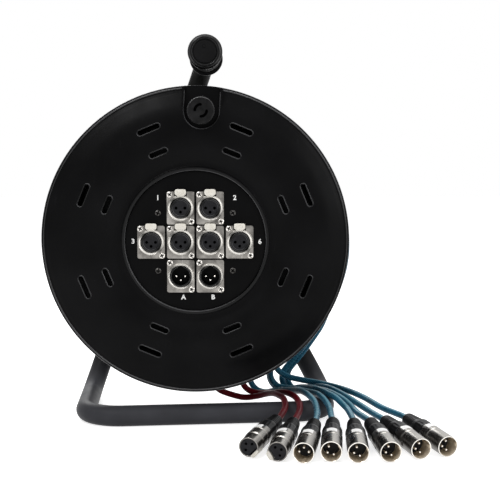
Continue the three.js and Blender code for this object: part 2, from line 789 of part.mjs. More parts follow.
function windingPoints() {
  const points = [];
  const flatSteps = loopSteps - shiftSteps - 1;
  const steps = (windingLoops - 1) * loopSteps + flatSteps - 1;
  const start = (windingStart * Math.PI) / 180;
  for (let i = 0; i <= steps; i += 1) {
    const whole = Math.floor(i / loopSteps);
    const shifted = (i - whole * loopSteps - flatSteps) / shiftSteps;
    const lane = whole + Math.min(1, Math.max(0, shifted));
    const angle = start - (2 * Math.PI * i) / loopSteps;
    const depth = windingFront + (lane + 1 / 2) * lanePitch;
    points.push(new THREE.Vector3(windingRadius * Math.cos(angle), depth, windingRadius * Math.sin(angle)));
  }
  const end = start - (2 * Math.PI * steps) / loopSteps;
  const lead = points[0].clone().addScaledVector(clockwise(start), -2 * cableRadius);
  const tail = points[steps].clone().addScaledVector(clockwise(end), 2 * cableRadius);
  return [lead, ...points, tail];
}

// Rings of a section round each point, square to the way through it, with flat end caps.
function woundTube(points, radius, sides) {
  const positions = [];
  const triangles = [];
  points.forEach((point, i) => {
    const before = points[Math.max(0, i - 1)];
    const after = points[Math.min(points.length - 1, i + 1)];
    const along = after.clone().sub(before).normalize();
    const outward = new THREE.Vector3(point.x, 0, point.z);
    outward.addScaledVector(along, -outward.dot(along)).normalize();
    const across = along.clone().cross(outward);
    for (let k = 0; k < sides; k += 1) {
      const angle = (2 * Math.PI * k) / sides;
      const corner = point.clone().addScaledVector(outward, radius * Math.cos(angle));
      corner.addScaledVector(across, radius * Math.sin(angle));
      positions.push(corner.x, corner.y, corner.z);
    }
    if (i === 0) return;
    for (let k = 0; k < sides; k += 1) {
      const [a, b] = [(i - 1) * sides + k, (i - 1) * sides + ((k + 1) % sides)];
      triangles.push(a, b, a + sides, b, b + sides, a + sides);
    }
  });
  const last = (points.length - 1) * sides;
  for (let k = 1; k < sides - 1; k += 1) {
    triangles.push(0, k + 1, k, last, last + k, last + k + 1);
  }
  const geometry = new THREE.BufferGeometry();
  geometry.setAttribute("position", new THREE.BufferAttribute(new Float32Array(positions), 3));
  geometry.setIndex(triangles);
  return geometry;
}

// The least gap of a wound tube to itself, measured between points at least half a loop apart.
function leastGap(points, radius) {
  const dense = [];
  for (let i = 1; i < points.length; i += 1) {
    for (const share of [0, 1 / 3, 2 / 3]) {
      dense.push(points[i - 1].clone().lerp(points[i], share));
    }
  }
  let least = Infinity;
  const apart = (loopSteps * 3) / 2;
  for (let i = 0; i < dense.length; i += 1) {
    for (let k = i + apart; k < dense.length; k += 1) {
      least = Math.min(least, dense[i].distanceTo(dense[k]) - 2 * radius);
    }
  }
  return least;
}
const winding = windingPoints();
console.log("least gap between the winding's turns: " + leastGap(winding, cableRadius).toFixed(2) + " mm");
drum.add(named("multicore_winding", solid(woundTube(winding, cableRadius, cableSides)), darkRubber));

// Panel plate and screws
const columns = [-outerColumn, -columnPitch / 2, columnPitch / 2, outerColumn];
const sockets = [
  { name: "1", x: columns[1], z: socketRows[0], male: false },
  { name: "2", x: columns[2], z: socketRows[0], male: false },
  { name: "3", x: columns[0], z: socketRows[1], male: false },
  { name: "4", x: columns[1], z: socketRows[1], male: false },
  { name: "5", x: columns[2], z: socketRows[1], male: false },
  { name: "6", x: columns[3], z: socketRows[1], male: false },
  { name: "a", x: columns[1], z: socketRows[2], male: true },
  { name: "b", x: columns[2], z: socketRows[2], male: true },
];

function panelPlate() {
  let plate = rod(recessRadius - fit, 0, panelThickness, drumFacets);
  for (const { x, z } of sockets) {
    plate = plate.subtract(rod(barrelRadius + fit, -overrun, panelThickness + overrun, barrelFacets, x, z));
  }
  for (const side of [-1, 1]) {
    for (const height of [upperScrewHeight, lowerScrewHeight]) {
      plate = plate.subtract(
        rod(screwShankRadius + fit, -overrun, panelThickness + overrun, barrelFacets, side * screwOffset, height),
      );
    }
  }
  return plate;
}
drum.add(named("panel_plate", panelPlate(), panelPaint));

function panelScrew() {
  return turned(
    [
      [0, -fit - screwHeadHeight],
      [screwHeadRadius, -fit - screwHeadHeight / 2],
      [screwHeadRadius, -fit],
      [screwShankRadius, -fit],
      [screwShankRadius, screwLength],
      [0, screwLength],
    ],
    barrelFacets,
  );
}
for (const [name, side, height] of [
  ["upper_left", -1, upperScrewHeight],
  ["upper_right", 1, upperScrewHeight],
  ["lower_left", -1, lowerScrewHeight],
  ["lower_right", 1, lowerScrewHeight],
]) {
  const screw = named("panel_screw_" + name, panelScrew(), bareSteel);
  screw.position.set(side * screwOffset, 0, height);
  drum.add(screw);
}

// Panel sockets
const contacts = [
  [-contactSpread, 0],
  [contactSpread, 0],
  [0, -contactDrop],
];

function socketPlateOutline() {
  const [w, h, c] = [socketWidth / 2, socketHeight / 2, socketCorner];
  const corners = [
    [-w + c, -h],
    [w - c, -h],
    [w, -h + c],
    [w, h - c],
    [w - c, h],
    [-w + c, h],
    [-w, h - c],
    [-w, -h + c],
  ];
  return new THREE.Shape(corners.map(([x, z]) => new THREE.Vector2(x, -z)));
}

function socketHousing(male) {
  const plate = slab(socketPlateOutline(), -fit - socketPlate, -fit);
  const centre = male
    ? [
        [0, cupDepth],
        [insertRadius, cupDepth],
        [insertRadius, -barrelFront],
      ]
    : [
        [0, -insertFront],
        [insertRadius, -insertFront],
        [insertRadius, grooveDepth],
        [mouthRadius, grooveDepth],
        [mouthRadius, -barrelFront],
      ];
  const barrel = turned([...centre, [barrelRadius, -barrelFront], [barrelRadius, barrelRear], [0, barrelRear]], barrelFacets);
  const mouth = rod(male ? insertRadius : mouthRadius, -barrelFront - overrun, -fit / 2, barrelFacets);
  let housing = joined(cut(plate, mouth), barrel);
  for (const [x, z] of contacts) {
    housing = male
      ? joined(housing, rod(contactRadius, -pinReach, cupDepth + overrun, pinFacets, x, z))
      : cut(housing, rod(contactRadius, -barrelFront, contactDepth, pinFacets, x, z));
  }
  if (male) return housing;
  const notch = block(
    [-tabWidth / 2 - fit, tabWidth / 2 + fit],
    [-barrelFront - overrun, -fit / 2],
    [tabBottom - fit, socketHeight],
  );
  return cut(housing, notch);
}

function socketTab() {
  const outline = new THREE.Shape([
    new THREE.Vector2(tabBottom, tabFront),
    new THREE.Vector2(tabTop, tabFront),
    new THREE.Vector2(tabTop, socketPlate + 2 * fit + tabTravel),
    new THREE.Vector2(tabStep, socketPlate + 2 * fit + tabTravel),
    new THREE.Vector2(tabStep, tabRoot + tabTravel),
    new THREE.Vector2(tabBottom, tabRoot + tabTravel),
  ]);
  const geometry = new THREE.ExtrudeGeometry(outline, { depth: tabWidth, bevelEnabled: false });
  geometry.translate(0, 0, -tabWidth / 2);
  const basis = new THREE.Matrix4().makeBasis(
    new THREE.Vector3(0, 0, 1),
    new THREE.Vector3(0, -1, 0),
    new THREE.Vector3(1, 0, 0),
  );
  return solid(geometry.applyMatrix4(basis));
}

for (const { name, x, z, male } of sockets) {
  const place = new THREE.Group();
  place.position.set(x, 0, z);
  drum.add(place);
  place.add(named("socket_" + name, socketHousing(male), nickel));
  if (!male) place.add(named("socket_tab_" + name, socketTab(), ivory));
}

// Winding knob and its bolt
function windingKnob() {
  const foot = pocketFloor - boltHeadLength - 2 * fit;
  const body = turned(
    [
      [0, -knobFront],
      [knobRadius - capEdge, -knobFront],
      [knobRadius, capEdge - knobFront],
      [knobNeck, foot],
      [boltRadius + fit, foot],
      [boltRadius + fit, -boltReach - fit],
      [0, -boltReach - fit],
    ],
    smallFacets + pinFacets,
  );
  let knob = body;
  for (const [from, to] of [
    [Math.PI / 2, Math.PI],
    [-Math.PI / 2, 0],
  ]) {
    const outline = new THREE.Shape();
    outline.absarc(0, 0, knobSlotRadius + knobSlotWidth / 2, from, to, false);
    outline.absarc(0, 0, knobSlotRadius - knobSlotWidth / 2, to, from, true);
    knob = knob.subtract(slab(outline, -knobFront - overrun, knobSlotDepth - knobFront));
  }
  return knob;
}

function knobBolt() {
  const head = pocketFloor - fit;
  return turned(
    [
      [0, -boltReach],
      [boltRadius, -boltReach],
      [boltRadius, head - boltHeadLength],
      [boltHeadRadius, head - boltHeadLength],
      [boltHeadRadius, head],
      [boltRadius, head],
      [boltRadius, pocketFloor + pocketBase],
      [0, pocketFloor + pocketBase],
    ],
    smallFacets,
  );
}
const knobPlace = new THREE.Group();
knobPlace.position.set(knobSide, 0, knobReach);
drum.add(knobPlace);
knobPlace.add(named("winding_knob", windingKnob(), blackPlastic));
knobPlace.add(named("knob_bolt", knobBolt(), bareSteel));

// Free end of the multicore: it lies in the free lane, clear of the drum, so the drum turns under it
const endAngle = (freeEndTo * Math.PI) / 180;
const cableWay = clockwise(endAngle);
const cableEnd = new THREE.Vector3(Math.cos(endAngle), 0, Math.sin(endAngle))
  .multiplyScalar(windingRadius)
  .add(new THREE.Vector3(0, freeEndDepth, axleHeight))
  .addScaledVector(cableWay, freeEndStraight);

function freeEnd() {
  const points = [];
  const tangents = [];
  for (let i = 0; i <= freeEndSteps; i += 1) {
    const angle = ((freeEndFrom + ((freeEndTo - freeEndFrom) * i) / freeEndSteps) * Math.PI) / 180;
    const spoke = new THREE.Vector3(Math.cos(angle), 0, Math.sin(angle)).multiplyScalar(windingRadius);
    points.push(spoke.add(new THREE.Vector3(0, freeEndDepth, axleHeight)));
    tangents.push(clockwise(angle));
  }
  points.push(cableEnd);
  tangents.push(cableWay);
  return tubeAlong(new Stations(points, tangents), cableRadius, tailSides, points.length - 1);
}
part.add(named("multicore_free_end", freeEnd(), darkRubber));

// Breakout: a block that widens from the multicore to the two columns of tails
const breakoutFrom = cableEnd.clone().addScaledVector(cableWay, fit);
const mouthMiddle = breakoutFrom.clone().addScaledVector(cableWay, breakoutLength);
const across = new THREE.Vector3(0, 1, 0);
const outward = new THREE.Vector3(-cableWay.z, 0, cableWay.x);

function cornered(width, height, corner, from, to) {
  const [w, h] = [width / 2, height / 2];
  const corners = [
    [-w + corner, -h],
    [w - corner, -h],
    [w, -h + corner],
    [w, h - corner],
    [w - corner, h],
    [-w + corner, h],
    [-w, h - corner],
    [-w, -h + corner],
  ];
  return slab(new THREE.Shape(corners.map(([x, z]) => new THREE.Vector2(x, z))), from, to);
}

function breakout() {
  return wasm.Manifold.hull([
    cornered(breakoutTip, breakoutTip, breakoutCorner, 0, breakoutCorner),
    cornered(breakoutHeight, breakoutWidth, breakoutCorner, breakoutLength - breakoutLip, breakoutLength),
  ]);
}
const breakoutMesh = named("breakout", breakout(), blackPlastic);
breakoutMesh.position.copy(breakoutFrom);
breakoutMesh.setRotationFromMatrix(new THREE.Matrix4().makeBasis(outward, cableWay, across));
part.add(breakoutMesh);

// Plugs, drawn along +Y from the front ring to the end of the boot, with the contacts' top at +Z
function femaleShell() {
  const step = shellRadius - noseRadius;
  let shell = turned(
    [
      [0, plugFaceDepth],
      [noseRadius - shellWall, plugFaceDepth],
      [noseRadius - shellWall / 2, 0],
      [noseRadius, 0],
      [noseRadius, noseLength],
      [shellRadius, noseLength + step],
      [shellRadius, shellLength],
      [0, shellLength],
    ],
    smallFacets,
  );
  for (const [x, z] of contacts) {
    shell = shell.subtract(rod(contactRadius, -overrun, contactDepth, pinFacets, x, z));
  }
  const inner = pushTabInner - fit - pushTabTravel;
  const half = pushTabWidth / 2 + fit;
  return shell.subtract(block([-half, half], [-overrun, pushTabLength + fit], [inner, shellRadius + overrun]));
}

function maleShell() {
  const bore = shellRadius - shellWall;
  const shell = turned(
    [
      [0, plugCupDepth],
      [bore, plugCupDepth],
      [bore, 0],
      [shellRadius, 0],
      [shellRadius, shellLength],
      [0, shellLength],
    ],
    smallFacets,
  );
  const pins = contacts.map(([x, z]) =>
    rod(plugPinRadius, plugCupDepth - plugPinReach, plugCupDepth + overrun, pinFacets, x, z),
  );
  return joined(shell, ...pins);
}

function plugBoot() {
  const front = shellLength + fit;
  const rear = front + clampLength;
  return turned(
    [
      [0, front],
      [clampRadius, front],
      [clampRadius, rear - clampChamfer],
      [clampRadius - clampChamfer, rear],
      [bootFront, rear],
      [bootRear, plugLength],
      [0, plugLength],
    ],
    smallFacets,
  );
}

function pushTab() {
  const half = pushTabWidth / 2;
  const outline = new THREE.Shape([
    new THREE.Vector2(-half, pushTabInner),
    new THREE.Vector2(half, pushTabInner),
    new THREE.Vector2(half, pushTabOuter - pushTabChamfer),
    new THREE.Vector2(half - pushTabChamfer, pushTabOuter),
    new THREE.Vector2(pushTabChamfer - half, pushTabOuter),
    new THREE.Vector2(-half, pushTabOuter - pushTabChamfer),
  ]);
  return slab(outline, -pushTabStand, pushTabLength);
}

for (const [name, { ring, boot, turn, female }] of Object.entries(plugPlaces)) {
  const axis = new THREE.Vector3(...boot).sub(new THREE.Vector3(...ring)).normalize();
  const plug = new THREE.Group();
  plug.position.set(...ring);
  plug.quaternion.setFromUnitVectors(across, axis);
  plug.rotateY((turn * Math.PI) / 180);
  part.add(plug);
  plug.add(named("plug_shell_" + name, female ? femaleShell() : maleShell(), nickel));
  plug.add(named("plug_boot_" + name, plugBoot(), darkRubber));
  if (female) plug.add(named("plug_tab_" + name, pushTab(), ivory));

  // Tail, straight where it leaves the breakout and where it enters the plug
  const [row, column] = tailSeats[name];
  const from = mouthMiddle
    .clone()
    .addScaledVector(cableWay, fit)
    .addScaledVector(outward, (row - 3 / 2) * seatPitch)
    .addScaledVector(across, (column - 1 / 2) * seatPitch);
  const to = new THREE.Vector3(...ring).addScaledVector(axis, plugLength + fit);
  const points = [
    from,
    from.clone().addScaledVector(cableWay, tailLead),
    ...tailRoutes[name].map((point) => new THREE.Vector3(...point)),
    to.clone().addScaledVector(axis, tailLead),
    to,
  ];
  const tangents = points.map((point, i) => {
    if (i === 0) return cableWay;
    if (i === points.length - 1) return axis.clone().negate();
    return points[i + 1].clone().sub(points[i - 1]).normalize();
  });
  const tube = tubeAlong(new Stations(points, tangents), tailRadius, tailSides, points.length - 1);
  part.add(named("tail_" + name, tube, female ? redSheath : blueSheath));
}

export default part;
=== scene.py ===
# Stage box snake: the dressed model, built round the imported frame.
# Lengths below are in millimetres: x to the right, depth behind the panel's face, and height z
# above the floor. row() turns them into the frame's metres. A shape that is drawn about its own
# centre line gets its place as at, an (x, z) pair.
import math

import bmesh
import bpy
from mathutils import Matrix, Quaternion, Vector


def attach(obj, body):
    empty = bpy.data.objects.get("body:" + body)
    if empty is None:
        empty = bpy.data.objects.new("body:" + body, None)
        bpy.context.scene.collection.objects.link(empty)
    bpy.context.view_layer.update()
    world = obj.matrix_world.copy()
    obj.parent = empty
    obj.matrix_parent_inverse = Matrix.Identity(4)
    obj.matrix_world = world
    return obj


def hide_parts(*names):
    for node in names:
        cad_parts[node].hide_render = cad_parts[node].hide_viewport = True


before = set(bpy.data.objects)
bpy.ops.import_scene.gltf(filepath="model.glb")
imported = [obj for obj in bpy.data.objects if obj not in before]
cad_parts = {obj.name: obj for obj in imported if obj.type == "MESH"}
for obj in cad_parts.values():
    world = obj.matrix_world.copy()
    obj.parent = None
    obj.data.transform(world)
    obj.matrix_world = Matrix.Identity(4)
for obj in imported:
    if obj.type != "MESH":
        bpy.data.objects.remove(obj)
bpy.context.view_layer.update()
scene = bpy.context.scene

PART_CENTRE = 70.1
MILLI = 0.001
AXLE_HEIGHT = 180.0
AXLE = (0, AXLE_HEIGHT)
TAU = 2 * math.pi
FIT = 0.3
TO_FRAME = Matrix.Translation((0, -PART_CENTRE * MILLI, 0))


def row(point):
    """A point in the frame's metres."""
    return Vector((point[0], point[1] - PART_CENTRE, point[2])) * MILLI


def linked(name, data):
    """A new object in the scene."""
    made = bpy.data.objects.new(name, data)
    scene.collection.objects.link(made)
    return made


# ---------------------------------------------------------------- camera
CAMERA_PLACE = (27.0, -1191.7, 285.3)
CAMERA_PITCH = 5.46
CAMERA_YAW = 1.16
CAMERA_LENS = 91.84
SENSOR_WIDTH = 36.0


def make_camera():
    data = bpy.data.cameras.new("camera")
    data.lens = CAMERA_LENS
    data.sensor_width = SENSOR_WIDTH
    camera = linked("camera", data)
    camera.location = row(CAMERA_PLACE)
    camera.rotation_euler = (math.radians(90 - CAMERA_PITCH), 0, math.radians(-CAMERA_YAW))
    scene.camera = camera


make_camera()

# ---------------------------------------------------------------- materials
FIRST_COLOUR = 6  # the Mix node's colour sockets
SECOND_COLOUR = 7
MIXED_COLOUR = 2
SCUFF_SCALE = 260.0
SCUFF_STRETCH = (1.0, 1.0, 0.06)  # long along the object's height
SCUFF_RANGE = (0.66, 0.8)
BRAID_LEAN = math.radians(38)
CLEAR_SHEATH = {
    "Coat Weight": 0.05, "Coat Roughness": 0.08, "Sheen Weight": 0.04, "Sheen Roughness": 0.35,
    "Sheen Tint": (0.62, 0.86, 0.94, 1),
}


def feed(tree, made, inputs):
    """Links a node's inputs that are given as sockets, and sets the others."""
    for name, value in inputs.items():
        if isinstance(value, bpy.types.NodeSocket):
            tree.links.new(value, made.inputs[name])
        else:
            made.inputs[name].default_value = value


def node(tree, kind, inputs, **values):
    made = tree.nodes.new("ShaderNode" + kind)
    for name, value in values.items():
        setattr(made, name, value)
    feed(tree, made, inputs)
    return made


def noise_of(tree, where, scale, detail=4.0, stretch=None):
    """A noise of the object's own metres, stretched along one way where stretch gives scales."""
    if stretch:
        where = node(tree, "Mapping", {"Vector": where, "Scale": stretch}).outputs["Vector"]
    inputs = {"Vector": where, "Scale": scale, "Detail": detail}
    return node(tree, "TexNoise", inputs).outputs["Fac"]


def ranged(tree, value, low, high, start=0.3, end=0.7):
    limits = {"From Min": start, "From Max": end, "To Min": low, "To Max": high, "Value": value}
    return node(tree, "MapRange", limits).outputs["Result"]


def mixed(tree, factor, first, second):
    """Two colours, each a tuple or a linked one, mixed by a linked factor."""
    inputs = {"Factor": factor}
    for socket, colour in ((FIRST_COLOUR, first), (SECOND_COLOUR, second)):
        inputs[socket] = (*colour, 1) if isinstance(colour, tuple) else colour
    return node(tree, "Mix", inputs, data_type="RGBA").outputs[MIXED_COLOUR]


def started(name, inputs):
    """A new material with its node tree and its shader, whose plain inputs are set."""
    material = bpy.data.materials.new(name)
    material.use_nodes = True
    tree = material.node_tree
    shader = tree.nodes["Principled BSDF"]
    feed(tree, shader, inputs)
    return material, tree, shader


def finished(tree, shader, colour, rough, rough_noise, fine, bump, height):
    """Gives the shader its linked colour, an uneven roughness and a fine relief."""
    relief = {"Height": fine, "Strength": bump, "Distance": height}
    feed(tree, shader, {
        "Base Color": colour, "Roughness": ranged(tree, rough_noise, *rough),
        "Normal": node(tree, "Bump", relief).outputs["Normal"],
    })


def finish_of(
    name, dark, light, rough, mottle, grain, bump, height=0.00008, metallic=0.0, specular=0.5,
    scuff=0.0, scuff_colour=None, stretch=None, painted_highlight_way=None, painted_highlight_colour=None,
    painted_highlight_range=(0.15, 0.55), painted_shade_heights=None, painted_shade_colour=None,
):
    """A finish with cloudy colour, uneven roughness, a fine grain and, where asked, long scuffs.

    A painted highlight lightens the faces that look along its direction, a painted shade changes
    the colour with height.
    """
    plain = {"Metallic": metallic, "Specular IOR Level": specular}
    material, tree, shader = started(name, plain)
    coords = node(tree, "TexCoord", {})
    where = coords.outputs["Object"]
    colour = mixed(tree, ranged(tree, noise_of(tree, where, mottle), 0, 1), dark, light)
    if scuff:
        streak = noise_of(tree, where, SCUFF_SCALE, 2.0, SCUFF_STRETCH)
        share = ranged(tree, streak, 0, scuff, *SCUFF_RANGE)
        colour = mixed(tree, share, colour, scuff_colour)
    # Painted highlight: the faces that look along the given way take a lighter colour.
    if painted_highlight_way:
        ways = {0: coords.outputs["Normal"], 1: painted_highlight_way}
        facing = node(tree, "VectorMath", ways, operation="DOT_PRODUCT").outputs["Value"]
        share = node(tree, "Math", {0: facing}, operation="ABSOLUTE").outputs[0]
        colour = mixed(tree, ranged(tree, share, 0, 1, *painted_highlight_range), colour, painted_highlight_colour)
    # Painted shade: the colour changes between two heights.
    if painted_shade_heights:
        height_of = node(tree, "SeparateXYZ", {0: where}).outputs["Z"]
        colour = mixed(tree, ranged(tree, height_of, 0, 1, *painted_shade_heights), colour, painted_shade_colour)
    fine = noise_of(tree, where, grain, 3.0, stretch)
    rough_noise = noise_of(tree, where, mottle * 2.7)
    finished(tree, shader, colour, rough, rough_noise, fine, bump, height)
    return material


def sheath_of(name, deep, middle, pale, rough, braid, painted_top_highlight=None, clear=None):
    """A soft sheath over laid strands: the strands show as a fine diamond pattern along the cable.

    A painted highlight is a lighter colour painted along the sheath's upper side.
    """
    material, tree, shader = started(name, {"Specular IOR Level": 0.04, **(clear or {})})
    coords = node(tree, "TexCoord", {})
    waves = {}
    for index, turn in enumerate((1, -1)):
        lean = {"Rotation": (0, 0, turn * BRAID_LEAN), "Vector": coords.outputs["UV"]}
        laid = node(tree, "Mapping", lean).outputs["Vector"]
        inputs = {"Scale": braid, "Distortion": 0.4, "Vector": laid}
        wave = node(tree, "TexWave", inputs, wave_type="BANDS", wave_profile="SIN")
        waves[index] = wave.outputs["Fac"]
    weave = node(tree, "Math", waves, operation="MULTIPLY").outputs[0]
    cloud = noise_of(tree, coords.outputs["Object"], 60.0)
    body = mixed(tree, ranged(tree, cloud, 0, 1), deep, middle)
    colour = mixed(tree, ranged(tree, weave, 0, 0.75, 0.15, 0.9), body, pale)
    # Painted highlight along the upper side.
    if painted_top_highlight:
        upward = node(tree, "SeparateXYZ", {0: coords.outputs["Normal"]}).outputs["Z"]
        colour = mixed(tree, ranged(tree, upward, 0, 0.3, 0.78, 0.98), colour, painted_top_highlight)
    rough_noise = noise_of(tree, coords.outputs["Object"], 300.0)
    finished(tree, shader, colour, rough, rough_noise, weave, 0.25, 0.00015)
    return material


DRUM = finish_of(
    "drum_plastic", (0.0014, 0.0014, 0.0016), (0.0044, 0.0044, 0.0048), (0.27, 0.4),
    mottle=18.0, grain=2400.0, bump=0.12, height=0.00005, specular=0.05,
    scuff=0.3, scuff_colour=(0.012, 0.012, 0.013),
)
RIM = finish_of(
    "rim_plastic", (0.0035, 0.0035, 0.0037), (0.007, 0.007, 0.0074), (0.14, 0.24),
    mottle=30.0, grain=2400.0, bump=0.08, height=0.00004, specular=0.4,
)
# The bead finish carries a painted highlight on the faces that look up and to the right, and on
# those that look down and to the left.
BEAD = finish_of(
    "bead_plastic", (0.003, 0.003, 0.0032), (0.008, 0.008, 0.0084), (0.24, 0.34),
    mottle=60.0, grain=2400.0, bump=0.08, height=0.00004, specular=0.14,
    painted_highlight_way=(0.6, 0.0, 0.8), painted_highlight_colour=(0.09, 0.09, 0.094),
)
# The edge finish carries a painted highlight on the faces that look up and on those that look down.
EDGE = finish_of(
    "edge_plastic", (0.004, 0.004, 0.0042), (0.008, 0.008, 0.0084), (0.14, 0.22),
    mottle=30.0, grain=2400.0, bump=0.06, height=0.00004, specular=0.4,
    painted_highlight_way=(0.25, 0.0, 0.97), painted_highlight_colour=(0.13, 0.13, 0.135),
)
KNOB = finish_of(
    "knob_plastic", (0.0022, 0.0022, 0.0023), (0.0135, 0.0135, 0.014), (0.34, 0.48),
    mottle=140.0, grain=2000.0, bump=0.3, height=0.0001, specular=0.09,
)
# Painted shade, put in recesses and holes.
PAINTED_HOLLOW_SHADE = finish_of(
    "painted_hollow_shade", (0.0008, 0.0008, 0.0008), (0.0014, 0.0014, 0.0014), (0.6, 0.75),
    mottle=60.0, grain=2400.0, bump=0.1, specular=0.02,
)
# The stand's paint turns darker from 16 to 46 mm above the floor: painted shade on the upper tube.
PAINT = finish_of(
    "stand_paint", (0.042, 0.0425, 0.0475), (0.06, 0.061, 0.069), (0.4, 0.5),
    mottle=25.0, grain=900.0, bump=0.1, height=0.00006, specular=0.05,
    scuff=0.2, scuff_colour=(0.09, 0.09, 0.1),
    painted_shade_heights=(0.016, 0.046), painted_shade_colour=(0.0105, 0.0105, 0.0102),
)
GRIP = finish_of(
    "grip_rubber", (0.003, 0.003, 0.0032), (0.0075, 0.0075, 0.008), (0.4, 0.55),
    mottle=50.0, grain=2600.0, bump=0.3, height=0.00008, specular=0.08,
)
PANEL = finish_of(
    "panel_paint", (0.001, 0.001, 0.0011), (0.0022, 0.0022, 0.0024), (0.42, 0.56),
    mottle=30.0, grain=3200.0, bump=0.22, height=0.00004, specular=0.05,
    scuff=0.15, scuff_colour=(0.01, 0.01, 0.01),
)
STEEL = finish_of(
    "bare_steel", (0.42, 0.42, 0.43), (0.58, 0.58, 0.58), (0.22, 0.4), metallic=1.0,
    mottle=120.0, grain=1800.0, bump=0.12, stretch=(1.0, 8.0, 1.0),
)
DARK_STEEL = finish_of(
    "dark_steel", (0.012, 0.012, 0.0115), (0.12, 0.115, 0.11), (0.3, 0.5), metallic=0.9,
    mottle=420.0, grain=1800.0, bump=0.2,
)
NICKEL = finish_of(
    "nickel", (0.085, 0.08, 0.074), (0.31, 0.296, 0.275), (0.22, 0.36), metallic=1.0,
    mottle=90.0, grain=1500.0, bump=0.16, height=0.00007, stretch=(1.0, 1.0, 9.0),
    scuff=0.5, scuff_colour=(0.62, 0.6, 0.56),
)
# The socket rings carry a painted highlight on the faces that look up and to the right, and down
# and to the left.
RING = finish_of(
    "ring_nickel", (0.13, 0.124, 0.115), (0.26, 0.25, 0.232), (0.16, 0.26), metallic=0.5,
    mottle=150.0, grain=2200.0, bump=0.06,
    painted_highlight_way=(0.707, 0.0, 0.707), painted_highlight_colour=(0.94, 0.91, 0.85), painted_highlight_range=(0.08, 0.42),
)
SCREW = finish_of(
    "screw_nickel", (0.42, 0.4, 0.375), (0.88, 0.85, 0.8), (0.16, 0.3), metallic=1.0,
    mottle=500.0, grain=2200.0, bump=0.1,
)
# The plug shells carry a painted highlight on the faces that look up and forward, and down and
# back.
SHELL = finish_of(
    "shell_nickel", (0.14, 0.134, 0.125), (0.21, 0.2, 0.187), (0.22, 0.3), metallic=1.0,
    mottle=30.0, grain=2200.0, bump=0.03, height=0.00003,
    painted_highlight_way=(0.1, -0.45, 0.87), painted_highlight_colour=(0.54, 0.52, 0.485), painted_highlight_range=(0.78, 0.98),
)
CUP = finish_of(
    "cup_nickel", (0.44, 0.36, 0.26), (0.68, 0.59, 0.46), (0.42, 0.56), metallic=0.3,
    mottle=120.0, grain=2200.0, bump=0.08,
)
BRIGHT = finish_of(
    "bright_nickel", (0.66, 0.63, 0.58), (0.8, 0.78, 0.74), (0.12, 0.2), metallic=1.0,
    mottle=160.0, grain=2200.0, bump=0.06,
)
IVORY = finish_of(
    "ivory_plastic", (0.72, 0.68, 0.6), (0.84, 0.81, 0.74), (0.26, 0.38),
    mottle=220.0, grain=2000.0, bump=0.08,
)
INSERT = finish_of(
    "insert_plastic", (0.007, 0.007, 0.0084), (0.015, 0.015, 0.017), (0.34, 0.48),
    mottle=180.0, grain=2600.0, bump=0.15, specular=0.13,
)
BLACK = finish_of(
    "cup_plastic", (0.0008, 0.0008, 0.0008), (0.0018, 0.0018, 0.0018), (0.35, 0.5),
    mottle=180.0, grain=2600.0, bump=0.15, specular=0.05,
)
RUBBER = finish_of(
    "boot_rubber", (0.002, 0.002, 0.0022), (0.006, 0.006, 0.0064), (0.28, 0.42),
    mottle=90.0, grain=2600.0, bump=0.3, height=0.00008, specular=0.14,
)
PRINT = finish_of(
    "white_print", (0.86, 0.86, 0.85), (0.94, 0.94, 0.93), (0.5, 0.6),
    mottle=500.0, grain=3000.0, bump=0.1, height=0.00002,
)
CABLE = sheath_of(
    "cable_sheath", (0.012, 0.012, 0.013), (0.02, 0.02, 0.021), (0.03, 0.03, 0.032),
    (0.42, 0.55), 3.0,
)
RED = sheath_of(
    "red_sheath", (0.05, 0.0012, 0.003), (0.115, 0.003, 0.008), (0.19, 0.01, 0.017),
    (0.3, 0.42), 4.0,
)
# The blue sheath carries a painted highlight along its upper side.
BLUE = sheath_of(
    "blue_sheath", (0.001, 0.014, 0.036), (0.004, 0.06, 0.12), (0.11, 0.42, 0.56),
    (0.2, 0.32), 4.0, (0.3, 0.66, 0.78), CLEAR_SHEATH,
)


# ---------------------------------------------------------------- mesh makers
CORNER_SHARE = 0.45  # of an edge, the most that a softened corner takes
SHARPEST_MITRE = 0.35


class Shape:
    """Corners in millimetres, faces and, for tubes, the place on the section and along it."""

    def __init__(self):
        self.points = []
        self.faces = []
        self.uvs = {}

    def add(self, other, matrix=None):
        base = len(self.points)
        for point in other.points:
            self.points.append(matrix @ Vector(point) if matrix else Vector(point))
        for face in other.faces:
            moved = tuple(index + base for index in face)
            if face in other.uvs:
                self.uvs[moved] = other.uvs[face]
            self.faces.append(moved)
        return self


def soften(corners, radius, steps=3, closed=False):
    """Rounds the corners of an open or closed line of points by up to a radius, or one for each."""
    made = []
    count = len(corners)
    radii = radius if isinstance(radius, list) else [radius] * count
    for i, corner in enumerate(corners):
        here = Vector(corner)
        if not closed and i in (0, count - 1):
            made.append(tuple(here))
            continue
        before, after = Vector(corners[i - 1]), Vector(corners[(i + 1) % count])
        back, ahead = before - here, after - here
        if back.length < 1e-6 or ahead.length < 1e-6:
            continue
        reach = min(radii[i], back.length * CORNER_SHARE, ahead.length * CORNER_SHARE)
        start, end = here + back.normalized() * reach, here + ahead.normalized() * reach
        for k in range(steps + 1):
            share = k / steps
            blend = start * (1 - share) ** 2 + here * 2 * share * (1 - share) + end * share**2
            made.append(tuple(blend))
    return made


def divided(line, step):
    """A line of points with more of them, none further apart than a step."""
    made = [line[0]]
    for here, after in zip(line, line[1:]):
        gap = Vector(after) - Vector(here)
        parts = max(1, math.ceil(gap.length / step))
        for k in range(1, parts + 1):
            made.append(tuple(Vector(here) + gap * (k / parts)))
    return made


